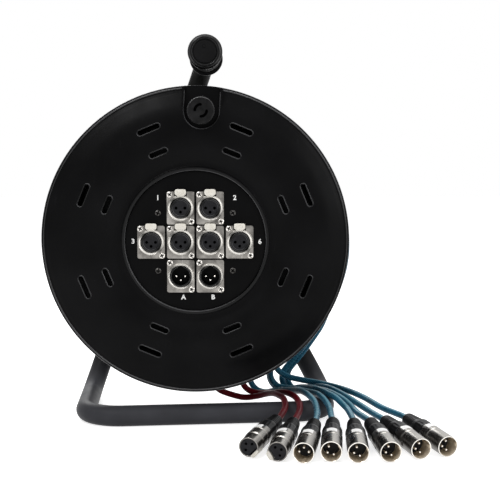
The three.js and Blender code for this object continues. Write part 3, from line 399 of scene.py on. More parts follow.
def skin(made, rings, closed=False):
    """Faces from each ring of corner numbers to the next. A ring of one corner makes a tip."""
    pairs = list(zip(rings, rings[1:]))
    if closed:
        pairs.append((rings[-1], rings[0]))
    for low, high in pairs:
        sides = max(len(low), len(high))
        if sides == 1:
            continue
        for k in range(sides):
            after = (k + 1) % sides
            if len(low) == 1:
                made.faces.append((low[0], high[after], high[k]))
            elif len(high) == 1:
                made.faces.append((low[k], low[after], high[0]))
            else:
                made.faces.append((low[k], low[after], high[after], high[k]))
    return made


def capped(made, rings):
    """A skin whose first and last ring are closed."""
    skin(made, rings)
    made.faces += [tuple(rings[0]), tuple(reversed(rings[-1]))]
    return made


def lathe(profile, sides, at=(0, 0), closed=False):
    """A body turned about a line along depth, from (radius, depth) pairs."""
    x, z = at
    made = Shape()
    rings = []
    for radius, depth in profile:
        if radius < 1e-6:
            rings.append([len(made.points)])
            made.points.append((x, depth, z))
            continue
        rings.append([len(made.points) + k for k in range(sides)])
        for k in range(sides):
            angle = TAU * k / sides
            made.points.append((x + radius * math.cos(angle), depth, z + radius * math.sin(angle)))
    return skin(made, rings, closed)


def turned(corners, softness, sides, at=(0, 0), steps=3, closed=False):
    """A turned body whose profile has softened corners."""
    return lathe(soften(corners, softness, steps, closed), sides, at, closed)


def ribbed(base, front, rear, ramps, least, rib):
    """A turned body with ribs between two depths, outside the least radius.

    rib(angle, near) says how far the side moves out, and near is one between the two ramps.
    """
    made = Shape()
    made.faces = base.faces
    for x, depth, z in base.points:
        radius, angle = math.hypot(x, z), math.atan2(z, x)
        near = max(0.0, min(1.0, (depth - front) / ramps[0]))
        near *= max(0.0, min(1.0, (rear - depth) / ramps[1]))
        share = (radius + rib(angle, near)) / radius if radius > least else 1.0
        made.points.append((x * share, depth, z * share))
    return made


def between(first, second, start, end, at):
    """What lies at a place between a start and an end that have two points of their own."""
    return (first * (end - at) + second * (at - start)) / (end - start)


def smooth_path(points, steps):
    """A curve through points, steps to each gap, as even as the points are."""
    line = [Vector(p) for p in points]
    ends = [line[0] * 2 - line[1]] + line + [line[-1] * 2 - line[-2]]
    made = []
    for i in range(1, len(ends) - 2):
        a, b, c, d = ends[i - 1 : i + 3]
        knots = [0.0]
        for here, after in ((a, b), (b, c), (c, d)):
            knots.append(knots[-1] + max(1e-6, (after - here).length) ** 0.5)
        k0, k1, k2, k3 = knots
        for k in range(steps):
            t = k1 + (k2 - k1) * k / steps
            middle = between(b, c, k1, k2, t)
            left = between(between(a, b, k0, k1, t), middle, k0, k2, t)
            right = between(middle, between(c, d, k2, k3, t), k1, k3, t)
            made.append(between(left, right, k1, k2, t))
    made.append(line[-1])
    return made


def tube(path, radius, sides, closed=False):
    """A round tube along a path. radius is one number or one for each point."""
    made = Shape()
    count = len(path)
    radii = radius if isinstance(radius, list) else [radius] * count
    ways = []
    for i in range(count):
        before = path[i - 1] if i or closed else path[0]
        after = path[(i + 1) % count] if i < count - 1 or closed else path[-1]
        ways.append((Vector(after) - Vector(before)).normalized())
    side = ways[0].orthogonal().normalized()
    sides_of = []
    for i, way in enumerate(ways):
        if i:
            side = ways[i - 1].rotation_difference(way) @ side
        side = (side - way * side.dot(way)).normalized()
        sides_of.append(side)
    twist = 0.0
    if closed:
        last = ways[-1].rotation_difference(ways[0]) @ sides_of[-1]
        twist = math.atan2(ways[0].dot(sides_of[0].cross(last)), sides_of[0].dot(last))
    along = 0.0
    lengths = []
    for i, way in enumerate(ways):
        if i:
            along += (Vector(path[i]) - Vector(path[i - 1])).length
        lengths.append(along / (TAU * max(radii)))
        turn = -twist * i / count
        other = way.cross(sides_of[i])
        for k in range(sides):
            angle = TAU * k / sides + turn
            spoke = sides_of[i] * math.cos(angle) + other * math.sin(angle)
            made.points.append(Vector(path[i]) + spoke * radii[i])
    for i in range(count if closed else count - 1):
        after = (i + 1) % count
        for k in range(sides):
            right = (k + 1) % sides
            face = (i * sides + k, i * sides + right, after * sides + right, after * sides + k)
            u0, u1 = k / sides, (k + 1) / sides
            v0 = lengths[i]
            v1 = lengths[after] if after else v0 + 0.1
            made.uvs[face] = ((u0, v0), (u1, v0), (u1, v1), (u0, v1))
            made.faces.append(face)
    if not closed:
        for first, way in ((0, -1), ((count - 1) * sides, 1)):
            ring = [first + k for k in range(sides)]
            made.faces.append(tuple(ring if way > 0 else reversed(ring)))
    return made


def round_path(middle, first, second, radius, steps):
    """A closed path round a middle, in the plane of two directions."""
    made = []
    for k in range(steps):
        angle = TAU * k / steps
        out, over = radius * math.cos(angle), radius * math.sin(angle)
        made.append(middle + first * out + second * over)
    return made


def prism(outline, front, rear, edge=0.0, steps=2):
    """A flat outline of (x, z) pairs between two depths, with its rims rounded by edge."""
    levels = []
    for k in range(steps + 1):
        turn = k * math.pi / 2 / steps
        levels.append((edge * (1 - math.sin(turn)), front + edge * (1 - math.cos(turn))))
    if not edge:
        levels = [(0.0, front)]
    back = [(inset, rear - (depth - front)) for inset, depth in reversed(levels)]
    count = len(outline)
    made = Shape()
    for inset, depth in levels + back:
        for i in range(count):
            here = Vector(outline[i])
            before = (here - Vector(outline[i - 1])).normalized()
            after = (Vector(outline[(i + 1) % count]) - here).normalized()
            inward = Vector((-(before.y + after.y), before.x + after.x))
            inward = inward.normalized() if inward.length > 1e-6 else Vector((-before.y, before.x))
            share = max(SHARPEST_MITRE, inward.dot(Vector((-before.y, before.x))))
            moved = here + inward * (inset / share)
            made.points.append((moved.x, depth, moved.y))
    rings = len(made.points) // count
    made.faces.append(tuple(range(count)))
    made.faces.append(tuple(reversed(range((rings - 1) * count, rings * count))))
    for ring in range(rings - 1):
        for i in range(count):
            after = (i + 1) % count
            low, high = ring * count, (ring + 1) * count
            made.faces.append((low + i, high + i, high + after, low + after))
    return made


def arc(radius, start, end, steps, x=0.0, z=0.0):
    """Points of an arc, with its angles in degrees."""
    made = []
    for k in range(steps + 1):
        angle = math.radians(start + (end - start) * k / steps)
        made.append((x + radius * math.cos(angle), z + radius * math.sin(angle)))
    return made


def box_outline(width, height, corner, x=0.0, z=0.0, steps=4):
    w, h = width / 2, height / 2
    corners = [(x - w, z - h), (x + w, z - h), (x + w, z + h), (x - w, z + h)]
    return soften(corners, corner, steps, closed=True)


def block(width, height, corner, at, front, rear, edge=0.0, steps=2):
    """A bar of rounded rectangular section between two depths."""
    return prism(box_outline(width, height, corner, *at), front, rear, edge, steps)


def shell_mesh(name, shape):
    """A closed mesh in the frame's metres, facing out."""
    mesh = bpy.data.meshes.new(name)
    mesh.from_pydata([row(p) for p in shape.points], [], shape.faces)
    if shape.uvs:
        layer = mesh.uv_layers.new(name="laid")
        for polygon, face in zip(mesh.polygons, shape.faces):
            for loop, uv in zip(polygon.loop_indices, shape.uvs.get(face, ((0, 0),) * len(face))):
                layer.data[loop].uv = uv
    work = bmesh.new()
    work.from_mesh(mesh)
    bmesh.ops.recalc_face_normals(work, faces=work.faces)
    work.to_mesh(mesh)
    work.free()
    return mesh


def piece(name, shape, material, body, stands_for=(), angle=38, further=()):
    """A piece of the dressed model on a body, in the place of the CAD nodes that it stands for."""
    mesh = shape if isinstance(shape, bpy.types.Mesh) else shell_mesh(name, shape)
    made = linked(name, mesh)
    kept = [polygon.material_index for polygon in mesh.polygons]
    mesh.materials.clear()
    for finish in (material, *further):
        mesh.materials.append(finish)
    if further:
        mesh.polygons.foreach_set("material_index", kept)
    mesh.shade_smooth()
    mesh.set_sharp_from_angle(angle=math.radians(angle))
    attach(made, body)
    if stands_for:
        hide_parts(*stands_for)
    return made


def middles(mesh):
    """Each face of a mesh with its middle as x, depth and z."""
    for polygon in mesh.polygons:
        middle = polygon.center / MILLI
        yield polygon, middle.x, middle.y + PART_CENTRE, middle.z


def dress(made, material, at, wanted):
    """Gives a further material to the faces whose middle is wanted, by its radius and depth."""
    made.data.materials.append(material)
    index = len(made.data.materials) - 1
    for polygon, x, depth, z in middles(made.data):
        if wanted(math.hypot(x - at[0], z - at[1]), depth):
            polygon.material_index = index


def carved(name, shape, cutters, joined=()):
    """The mesh of a shape after other shapes are joined to it and then cut from it."""
    base = linked(name, shell_mesh(name, shape))
    helpers = []
    for operation, others in (("UNION", joined), ("DIFFERENCE", cutters)):
        for other in others:
            helper = linked("helper", shell_mesh("helper", other))
            helpers.append(helper)
            change = base.modifiers.new("change", "BOOLEAN")
            change.operation = operation
            change.solver = "EXACT"
            change.object = helper
    graph = bpy.context.evaluated_depsgraph_get()
    mesh = bpy.data.meshes.new_from_object(base.evaluated_get(graph))
    for helper in [base, *helpers]:
        data = helper.data
        bpy.data.objects.remove(helper)
        bpy.data.meshes.remove(data)
    return mesh


def with_shape(mesh, shape):
    """A mesh with a further closed shape in it."""
    extra = shell_mesh("extra", shape)
    work = bmesh.new()
    work.from_mesh(mesh)
    work.from_mesh(extra)
    work.to_mesh(mesh)
    work.free()
    bpy.data.meshes.remove(extra)
    return mesh


# ---------------------------------------------------------------- routes of the cords
TAIL_RADIUS = 3.0
PLUG_LENGTH = 80.0
TAIL_LEAD = 8.0
SEAT_PITCH = 7.1
CABLE_RADIUS = 6.25
WINDING_RADIUS = 121.0
FREE_END_DEPTH = 95.6
FREE_END_FROM = 230.0
FREE_END_TO = 40.0
FREE_END_STRAIGHT = 11.7
BREAKOUT_LENGTH = 42.0

# Each cable plug: the middle of its open end, a point on its axis at the end of its boot, its turn
# about that axis in degrees, and whether it is female
PLUGS = {
    "a": ((47.6, -112, 10.9), (75, -37.2, 17.4), 135, True),
    "b": ((72, -124, 9.9), (90, -46.2, 17.2), -120, True),
    "1": ((94, -129, 9.9), (109, -50.8, 17), 180, False),
    "2": ((118, -125, 9.9), (126, -45.7, 17), 58, False),
    "3": ((141, -129, 9.9), (145, -49.4, 17), 70, False),
    "4": ((169, -127, 9.9), (160, -47.8, 17), 70, False),
    "5": ((196.5, -117, 9.9), (174.5, -40.4, 17), 82, False),
    "6": ((221, -109, 9.9), (196, -33.4, 17), 84, False),
}
# Where a tail leaves the breakout: its row, counted outward, and its column
SEATS = {
    "a": (0, 0), "b": (0, 1), "1": (1, 0), "2": (1, 1),
    "6": (2, 0), "3": (2, 1), "4": (3, 0), "5": (3, 1),
}
# The middle of each tail's way, from behind the drum to its plug: x, depth and height of each point
ROUTES = {
    "a": """
    130.4 87.6 196.2, 133 84.8 184.2, 134 84.2 168.8, 132.8 83.8 154, 129.4 83.6 138.8,
    124.2 83.8 124.4, 117.4 84 111, 109 84 98.2, 99.6 84 86.4, 88.8 83.8 75.4, 77.6 84 65.4,
    65 84.2 56.6, 51.6 84.4 50, 36.8 84.8 46, 23.8 85 43.4, 18 85.8 38.8, 15.6 86.8 32.4,
    16.8 87.6 25.8, 21.6 88.6 20.2, 34.8 89.8 14.6, 47.6 88.8 12, 59.4 83.4 14.4, 69.2 72.6 19,
    75.4 59.4 22.2, 80.2 44.8 23.4, 84.4 30.4 23, 85.4 15.2 20.6, 83.8 0.4 19, 81 -14.8 18.4
    """,
    "b": """
    128.4 96.8 192, 131 93.6 177.4, 131.8 91.4 162.4, 130.8 90.8 147.8, 127.2 90.8 133.2,
    121.4 91 119.2, 114.2 91 105.8, 106 91 93.8, 96.4 91 82, 85.8 91.2 71.2, 74.6 91.4 61,
    63.2 92.2 51.8, 51.2 93.6 42.6, 45.8 94.2 35.2, 45.2 94.6 28, 47.8 94.8 21.8, 53.6 94.2 17.4,
    61 92.6 16, 68.6 87.6 17.2, 76.2 75.4 19.6, 82.8 62.2 23.2, 89.4 48.6 24.8, 95.8 35 23.8,
    99 20.8 21.4, 98.8 5.8 20, 97.2 -9.2 18.8, 94.6 -24.2 18.2
    """,
    "1": """
    135.8 92.8 195.2, 138 92.8 180.4, 138.4 94 165.6, 136.8 95.2 150.2, 133.4 95.8 135.8,
    128 96.2 121.8, 121.2 96.4 108.6, 113 96.8 95.6, 104.2 97.6 83.6, 94.6 98.4 72.2,
    84.4 99.4 61.4, 73.4 100.8 51.6, 61 102.2 42.4, 54.6 103.6 35.2, 53.4 104.4 28.2,
    55.8 104.8 21.6, 61 104.2 16.6, 68 102.4 14.8, 77.6 97 17, 87.4 86.4 20.2, 95.4 73.4 22.6,
    101.6 60 24.8, 106.8 46.2 25.2, 111 31.8 24, 113.8 16.8 22.6, 114.4 2 20.6, 114.2 -12.8 19,
    112.6 -27.6 18.2
    """,
    "2": """
    134.4 100 195.6, 137.6 100.2 181.2, 138.8 101.2 166.4, 138 102.2 151.6, 135.2 102.8 137.2,
    130.4 103 123.2, 124.2 103.2 109.8, 117.2 103 96.2, 109.6 103 83.4, 101.2 103.2 71.4,
    91.4 103.8 60.2, 81.6 104 49, 75 104.6 38.2, 74.4 105 31.2, 77 104.4 25.2, 82.2 102.4 20.8,
    91 97.8 19.8, 100.6 88.8 20.6, 107 75.4 21.6, 113.2 62 22.8, 119.2 48.6 23.4, 123.8 34.6 21.8,
    126.8 20.4 19.4, 127.8 5.8 17.4, 127.6 -9 15.6, 127.2 -23.8 15.4
    """,
    "3": """
    140.6 99.4 199.6, 144.2 100.4 185, 145.8 101.8 170.6, 146.2 103.8 155.6, 143.6 106.6 141,
    138.8 108.8 126.8, 133 110.8 113.6, 126 113 100.4, 117.8 115.2 88, 108.6 116.8 76.2,
    99 118 64.6, 89.8 118.4 53.2, 79.2 118.4 42.6, 74.2 118.4 34.2, 74 117.4 27, 77.4 115.8 20.2,
    83.4 112.8 16.2, 91.4 107 16, 102.6 98 20.2, 110.2 85.4 23, 115.8 72.2 25, 122.6 58.6 25.4,
    129 45 24.8, 135 31.2 23.8, 139.8 17.6 21.2, 143.8 3.4 18.8, 145 -11.6 18, 145.4 -26.8 17.8
    """,
    "4": """
    147.2 94.6 204.2, 150.2 96.2 190, 151.8 97.4 175, 152.2 98.8 160.4, 150.6 101.2 145.4,
    147.4 104.6 131.6, 142.6 108.6 117.6, 137 112.4 104.8, 130.4 116.4 91.6, 123.8 120 79.2,
    115.4 122.8 66.8, 106.6 124.6 54.6, 97.4 125 43.2, 89 124.4 32.4, 87 122.6 25.2, 89 119.6 18.8,
    93.4 115.4 14.8, 100.2 109.4 14.2, 109.8 98.4 16.6, 117 85.6 20, 123.6 72.8 23, 130.2 59.2 23.8,
    136.4 46 23.2, 142.2 32 22, 147.4 18.6 19.6, 151.2 4 17.2, 153.4 -10.4 17, 156.4 -25.4 17.4
    """,
    "5": """
    146 101.6 205, 149.6 103.4 190.4, 151.6 105.2 176, 152 107.6 161.2, 150.2 110.6 147,
    147 114.4 132.8, 142.8 118.4 118.8, 138.4 122.2 105.4, 133.2 125.8 91.8, 127.8 128.8 78.6,
    120 130.8 66, 111.4 131.6 53.6, 102.4 131.6 42, 94.6 130.8 31.8, 93 128.4 24.6, 94.8 125 18.6,
    98.8 120.8 15, 106.2 113.6 15, 115 102.8 18.4, 123.2 90.8 22.6, 131 78 24, 137.8 65.2 23.6,
    144 51.4 22.6, 149.6 38 21.4, 155 24 20, 160 9.8 18.8, 164.4 -4 18, 168.4 -18.6 17.8
    """,
    "6": """
    142.2 91.6 199, 144.8 93 184.2, 145.6 94.6 169.4, 144.6 96.4 154.6, 142 98.2 139.4,
    138 100.2 125.2, 132.8 102.8 111.4, 125.6 105.8 98, 116.8 108.2 86.2, 106.8 109.8 75.2,
    95.2 111.8 65, 83.6 111.2 55.8, 79.6 111 48.8, 79.6 111.4 41.6, 83.2 111.8 35, 92.2 110.4 29.4,
    106.6 108.4 26, 120.6 103.2 24.4, 133.6 95.2 23, 144 84.6 22.2, 151.8 71.8 21.8, 159 58 21.2,
    165.2 44.4 20.4, 170.2 30.4 19.6, 175.2 15.8 18.8, 180.8 1.8 18.2, 187.2 -11.6 18
    """,
}


def spoke_at(degrees):
    angle = math.radians(degrees)
    return Vector((math.cos(angle), 0, math.sin(angle)))


ACROSS = Vector((0, 1, 0))
SIDEWAYS = Vector((1, 0, 0))
UP = Vector((0, 0, 1))
OUTWARD = spoke_at(FREE_END_TO)
CABLE_WAY = Vector((OUTWARD.z, 0, -OUTWARD.x))  # clockwise round the axle


def round_axle(degrees, radius, depth):
    """A point round the drum's axis."""
    return Vector((0, 0, AXLE_HEIGHT)) + ACROSS * depth + spoke_at(degrees) * radius


LAST_ON_DRUM = round_axle(FREE_END_TO, WINDING_RADIUS, FREE_END_DEPTH)
BREAKOUT_FROM = LAST_ON_DRUM + CABLE_WAY * FREE_END_STRAIGHT + CABLE_WAY * FIT
MOUTH = BREAKOUT_FROM + CABLE_WAY * BREAKOUT_LENGTH


def plug_matrix(name):
    """Where a plug is, as a matrix from the frame that it is drawn in, and its axis."""
    ring, boot, turn, _ = PLUGS[name]
    axis = (Vector(boot) - Vector(ring)).normalized()
    facing = ACROSS.rotation_difference(axis) @ Quaternion(ACROSS, math.radians(turn))
    return Matrix.Translation(Vector(ring)) @ facing.to_matrix().to_4x4(), axis


def tail_route(name):
    axis = plug_matrix(name)[1]
    seat_row, column = SEATS[name]
    start = MOUTH + CABLE_WAY * FIT + OUTWARD * ((seat_row - 1.5) * SEAT_PITCH)
    start += ACROSS * ((column - 0.5) * SEAT_PITCH)
    end = Vector(PLUGS[name][0]) + axis * (PLUG_LENGTH + FIT)
    middle = [Vector([float(word) for word in point.split()]) for point in ROUTES[name].split(",")]
    return [start, start + CABLE_WAY * TAIL_LEAD, *middle, end + axis * TAIL_LEAD, end]


# ---------------------------------------------------------------- tails
TAIL_STEPS = 8
TAIL_SIDES = 20
tail_paths = {name: smooth_path(tail_route(name), TAIL_STEPS) for name in PLUGS}

# The middle of tail 4 is drawn in where it passes behind the front flange's edge
TUCK = 0.9
TUCK_MIDDLE = 157.0
TUCK_REACH = 60.0
TUCK_BEYOND = 140.0
for point in tail_paths["4"]:
    along = (point[2] - TUCK_MIDDLE) / TUCK_REACH
    if point[0] > TUCK_BEYOND and abs(along) < 1:
        point[0] -= TUCK * math.cos(along * math.pi / 2)
for name, path in tail_paths.items():
    finish, slot = (RED, "red_sheath") if name in ("a", "b") else (BLUE, "blue_sheath")
    cable = tube(path, TAIL_RADIUS, TAIL_SIDES)
    piece("tail_cable_" + name, cable, finish, "stand", ("tail_" + name,))

# Free end of the multicore: it comes up from between the turns and goes over the top
SINK_TURN = 14.0
SINK_DEPTH = 9.0
FREE_END_STEPS = 96
free_path = []
for step in range(FREE_END_STEPS + 1):
    share = step / FREE_END_STEPS
    angle = FREE_END_FROM + (FREE_END_TO - FREE_END_FROM) * share
    sunk = max(0.0, 1 - (FREE_END_FROM - angle) / SINK_TURN)
    radius = WINDING_RADIUS - SINK_DEPTH * (1 - math.cos(sunk * math.pi / 2))
    free_path.append(round_axle(angle, radius, FREE_END_DEPTH))
for step in range(1, 4):
    free_path.append(LAST_ON_DRUM + CABLE_WAY * (FREE_END_STRAIGHT + FIT) * step / 3)
free_end = piece(
    "free_end_cable", tube(free_path, CABLE_RADIUS, 28), CABLE, "stand",
    ("multicore_free_end",),
)

# Breakout: a moulded block that widens from the cable to two columns of tails. Each section has
# its place along the block, its width and its height.
BREAKOUT_SECTIONS = (
    (0.0, 11.5, 11.5), (0.8, 13.0, 13.0), (9.0, 13.0, 13.0), (11.0, 13.2, 14.5),
    (20.0, 13.8, 20.0), (30.0, 14.3, 26.0), (33.5, 14.4, 28.0), (34.0, 14.4, 28.6),
    (41.2, 14.4, 28.6), (42.0, 13.0, 27.2),
)
BREAKOUT_RINGS = (3.0, 5.4, 7.8)


def breakout_shape():
    made = Shape()
    rings = []
    for along, width, height in BREAKOUT_SECTIONS:
        outline = box_outline(height, width, min(width, height) * 0.34, steps=5)
        rings.append(range(len(made.points), len(made.points) + len(outline)))
        middle = BREAKOUT_FROM + CABLE_WAY * along
        made.points += [middle + OUTWARD * u + ACROSS * v for u, v in outline]
    capped(made, rings)
    for along in BREAKOUT_RINGS:
        ring = round_path(BREAKOUT_FROM + CABLE_WAY * along, OUTWARD, ACROSS, 6.3, 32)
        made.add(tube(ring, 0.6, 8, closed=True))
    return made


breakout = piece(
    "breakout_block", breakout_shape(), RUBBER, "stand", ("breakout",)
)

# ---------------------------------------------------------------- drum
DRUM_SIDES = 180
CORE_SIDES = 96
REAR_FACE = 119.5
SLOT_PAIRS = 8
SLOT_WIDTH = 4.7
SLOT_RINGS = ((112.5, 22.0), (89.0, 17.5))  # radius and length
SLOT_BEAD = 0.5
KNOB_SIDE = 6.0
KNOB_REACH = 121.2
KNOB_AT = (KNOB_SIDE, AXLE_HEIGHT + KNOB_REACH)
POCKET_RADIUS = 16.5
POCKET_WALL = 2.4
POCKET_FLOOR = 6.5
POCKET_BASE = 3.0
POCKET_STEPS = 24
AT_AXLE = Matrix.Translation((0, 0, AXLE_HEIGHT))

# The dish from the gutter to the rim and back on the cable's side, as (radius, height over the
# flange's face), and how far each of its corners is softened
DISH = (
    (75, -1.2), (86, 2.8), (98, 3.8), (123, 1.2), (138, -4.6), (140.8, -6.2), (142.1, -6.2),
    (142.4, -5.6), (143.1, -5.6), (143.4, -6.2), (145, -6.2), (145, -12.5), (142.6, -12.5),
    (138, -8.1), (123, -2.3), (98, 0.3), (86, -0.7),
)
DISH_SOFTNESS = [
    3.0, 9.0, 12.0, 14.0, 1.6, 0.4, 0.2, 0.3, 0.3, 0.2, 0.8, 1.1, 0.8, 3.0, 8.0, 8.0, 8.0,
]
DISH_FACE = DISH[:6]


def from_axle(x, z):
    return math.hypot(x, z - AXLE_HEIGHT)


def dish_height(radius):
    """How far the dished face stands out over the flange's face at a radius."""
    for (r0, h0), (r1, h1) in zip(DISH_FACE, DISH_FACE[1:]):
        if radius <= r1:
            return h0 + (h1 - h0) * max(0.0, (radius - r0) / (r1 - r0))
    return DISH_FACE[-1][1]


def flange(inner, inner_radii, face, towards, first, back, back_radii):
    """A flange turned from its profile, its broad curves eased and its rims rounded."""
    dish = [(radius, face - towards * height) for radius, height in DISH]
    softness = inner_radii + DISH_SOFTNESS[first:] + back_radii
    return turned(inner + dish[first:] + back, softness, DRUM_SIDES, AXLE, 6, closed=True)


def leaned(flat, angle):
    """A flat outline about the origin, turned clockwise and put round the drum's axis."""
    cos, sin = math.cos(angle), math.sin(angle)
    return [(x * cos + z * sin, z * cos - x * sin + AXLE_HEIGHT) for x, z in flat]


def slot_outlines(rings, grow=0.0):
    """Slots with round ends that lie across the drum's spokes, as (x, z) pairs."""
    end = SLOT_WIDTH / 2 + grow
    for pair in range(SLOT_PAIRS):
        turn = math.radians(90 - (22.5 + 45 * pair))
        for radius, length in rings:
            half = length / 2 - SLOT_WIDTH / 2
            flat = arc(end, -90, 90, 8, half) + arc(end, 90, 270, 8, -half)
            yield leaned([(x, radius + z) for x, z in flat], turn)


def slot_tools(rings, front, rear):
    made = Shape()
    for outline in slot_outlines(rings):
        made.add(prism(outline, front, rear))
    return made


def slot_beads(rings, face, towards):
    """A raised moulded edge round each slot."""
    made = Shape()
    for outline in slot_outlines(rings, SLOT_BEAD):
        line = [(x, face - towards * (dish_height(from_axle(x, z)) - 0.1), z) for x, z in outline]
        made.add(tube(line, SLOT_BEAD, 8, closed=True))
    return made


def pocket_outline(radius, reach):
    """The knob pocket's U, open at the top, turned to stand on its own spoke."""
    half = math.degrees(math.asin(radius / reach))
    flat = arc(radius, 180, 360, POCKET_STEPS, 0.0, math.hypot(KNOB_SIDE, KNOB_REACH))
    flat += arc(reach, 90 - half, 90 + half, 10)
    return leaned(flat, math.atan2(KNOB_SIDE, KNOB_REACH))


def front_flange():
    body = flange(
        [(56, 2.3), (66, 2.3), (66, -2.6), (69.6, -2.6), (69.6, 1.2)], [0.4, 0.3, 1.1, 1.1, 1.2],
        0.0, 1, 0, [(76, 5.8), (56, 5.8)], [2.0, 0.5],
    )
    around = pocket_outline(POCKET_RADIUS + POCKET_WALL, 144.6)
    wall = prism(around, 0.0, POCKET_FLOOR + POCKET_BASE)
    hollow = prism(pocket_outline(POCKET_RADIUS, 152.0), -9.0, POCKET_FLOOR)
    return carved("front", body, [hollow, slot_tools(SLOT_RINGS, -9.0, 17.0)], [wall])


def pocket_edge():
    """A moulded edge round the knob's pocket."""
    outline = pocket_outline(POCKET_RADIUS + 0.2, 140.5)
    line = [(outline[-1][0], 0.15, outline[-1][1])]
    for x, z in outline[: POCKET_STEPS + 1]:
        line.append((x, -max(dish_height(from_axle(x, z)), 0.0) + 0.15, z))
    line.append((outline[POCKET_STEPS + 1][0], 0.15, outline[POCKET_STEPS + 1][1]))
    return tube(divided(line, 3.0), 0.4, 8)


def rear_flange():
    body = flange(
        [(8.3, 123), (16, 123), (16, 119.5), (76, 119.5)], [0.6, 1.2, 1.5, 6.0], REAR_FACE, -1, 1,
        [(76, 116), (16, 116), (16, 92), (8.3, 92)], [2.0, 1.5, 1.2, 0.6],
    )
    return carved("rear", body, [slot_tools(SLOT_RINGS[:1], 100.0, 130.0)])


def on_lip(out):
    """The raised line on a flange's lip."""
    return 142.15 < out < 143.35


def on_front_lines(out, depth):
    """The raised line on the front flange's lip, and the lip's outer edge."""
    return on_lip(out) and depth < 20 or out > 144.25 and depth < 7.0


front = piece(
    "front_flange_moulding", front_flange(), DRUM, "drum", ("front_flange",), 30
)
# The lip's lines take the edge finish and the panel's bead the bead finish: both carry a painted
# highlight.
dress(front, EDGE, AXLE, on_front_lines)
dress(front, BEAD, AXLE, lambda out, depth: depth < 0.5 and 65.6 < out < 68.2)
# The moulded edges round the slots and the pocket carry the bead finish's painted highlight.
front_beads = slot_beads(SLOT_RINGS, 0.0, 1).add(pocket_edge())
piece("front_slot_edges", front_beads, BEAD, "drum")
rear = piece(
    "rear_flange_moulding", rear_flange(), DRUM, "drum", ("rear_flange",), 30
)
# The rear lip's line takes the edge finish and the slots' edges the bead finish: both carry a
# painted highlight.
dress(rear, EDGE, AXLE, lambda out, depth: on_lip(out) and depth > 110)
rear_beads = slot_beads(SLOT_RINGS[:1], REAR_FACE, -1)
piece("rear_slot_edges", rear_beads, BEAD, "drum")

core_line = [(73, 6.2), (76, 6.2), (76, 115.6), (73, 115.6)]
core = turned(core_line, 0.6, CORE_SIDES, AXLE, closed=True)
piece("core_shell", core, DRUM, "drum", ("drum_core",))

web_line = [(8.3, 46), (72.6, 46), (72.6, 50), (16, 50), (16, 70), (8.3, 70)]
web = turned(web_line, 0.8, CORE_SIDES, AXLE, closed=True)
web_rib = prism([(17, -1.2), (70, -1.2), (70, 1.2), (17, 1.2)], 49.0, 58.0, 0.3)
for spoke in range(8):
    web.add(web_rib, AT_AXLE @ Matrix.Rotation(TAU * (spoke + 0.5) / 8, 4, "Y"))
piece("bearing_web_moulding", web, DRUM, "drum", ("bearing_web",))

# ---------------------------------------------------------------- wound multicore
LANE_PITCH = 13.0
WINDING_LOOPS = 6
WINDING_FRONT = 10.0
LOOP_STEPS = 24
WINDING_START = 140.0
SHIFT_STEPS = 4
FINE = 4
DIP_STEPS = 6
DIP = 10.0
INNER_RADIUS = 108.4
INNER_FRONT = 10.3
INNER_REAR = 115.4
INNER_START = 60.0
INNER_LOOPS = 8
INNER_STEPS = 72


def winding_path():
    """The outer layer: each turn lies in its lane and steps over to the next one near its end."""
    flat = LOOP_STEPS - SHIFT_STEPS - 1
    steps = (WINDING_LOOPS - 1) * LOOP_STEPS + flat - 1
    made = []
    for i in range(-DIP_STEPS * FINE, (steps + DIP_STEPS) * FINE + 1):
        place = i / FINE
        held = min(max(place, 0.0), float(steps))
        whole = math.floor(held / LOOP_STEPS)
        share = min(1.0, max(0.0, (held - whole * LOOP_STEPS - flat) / SHIFT_STEPS))
        lane = whole + share * share * (3 - 2 * share)
        beyond = max(0.0, -place, place - steps) / DIP_STEPS
        radius = WINDING_RADIUS - DIP * (1 - math.cos(min(1.0, beyond) * math.pi / 2))
        angle = WINDING_START - 360.0 * place / LOOP_STEPS
        made.append(round_axle(angle, radius, WINDING_FRONT + (lane + 0.5) * LANE_PITCH))
    return made


def inner_turns():
    """The layers below: a plain ring, and one wound layer that shows between the outer turns."""
    ring = [(76.3, 10.2), (106.0, 10.2), (106.0, 115.5), (76.3, 115.5)]
    path = []
    pitch = (INNER_REAR - INNER_FRONT - 2 * CABLE_RADIUS) / (INNER_LOOPS - 1)
    for i in range((INNER_LOOPS - 1) * INNER_STEPS + 1):
        place = i / INNER_STEPS
        depth = INNER_FRONT + CABLE_RADIUS + pitch * place
        path.append(round_axle(INNER_START - 360 * place, INNER_RADIUS, depth))
    return lathe(ring, CORE_SIDES, AXLE, closed=True).add(tube(path, CABLE_RADIUS, 18))


piece(
    "outer_turns", tube(winding_path(), CABLE_RADIUS, 20), CABLE, "drum",
    ("multicore_winding",),
)
piece("inner_turns", inner_turns(), CABLE, "drum", ("multicore_inner_layers",))

# ---------------------------------------------------------------- panel
COLUMNS = (-41.4, -13.8, 13.8, 41.4)
ROWS = (211.0, 179.0, 147.0)
# Each socket: its column, its row, and whether it is male
SOCKETS = {
    "1": (1, 0, False), "2": (2, 0, False), "3": (0, 1, False), "4": (1, 1, False),
    "5": (2, 1, False), "6": (3, 1, False), "a": (1, 2, True), "b": (2, 2, True),
}
SOCKETS_AT = {name: (COLUMNS[column], ROWS[line]) for name, (column, line, _) in SOCKETS.items()}
PANEL_SCREWS = {
    "upper_left": (-35, 26.3), "upper_right": (35, 26.3),
    "lower_left": (-35, -28), "lower_right": (35, -28),
}
CONTACTS = ((-4.15, 0.0), (4.15, 0.0), (0.0, -3.8))


def hole(radius, at, front, rear, sides=40):
    """A round bar to cut with."""
    return prism(arc(radius, 0, 360 - 360 / sides, sides - 1, *at), front, rear)


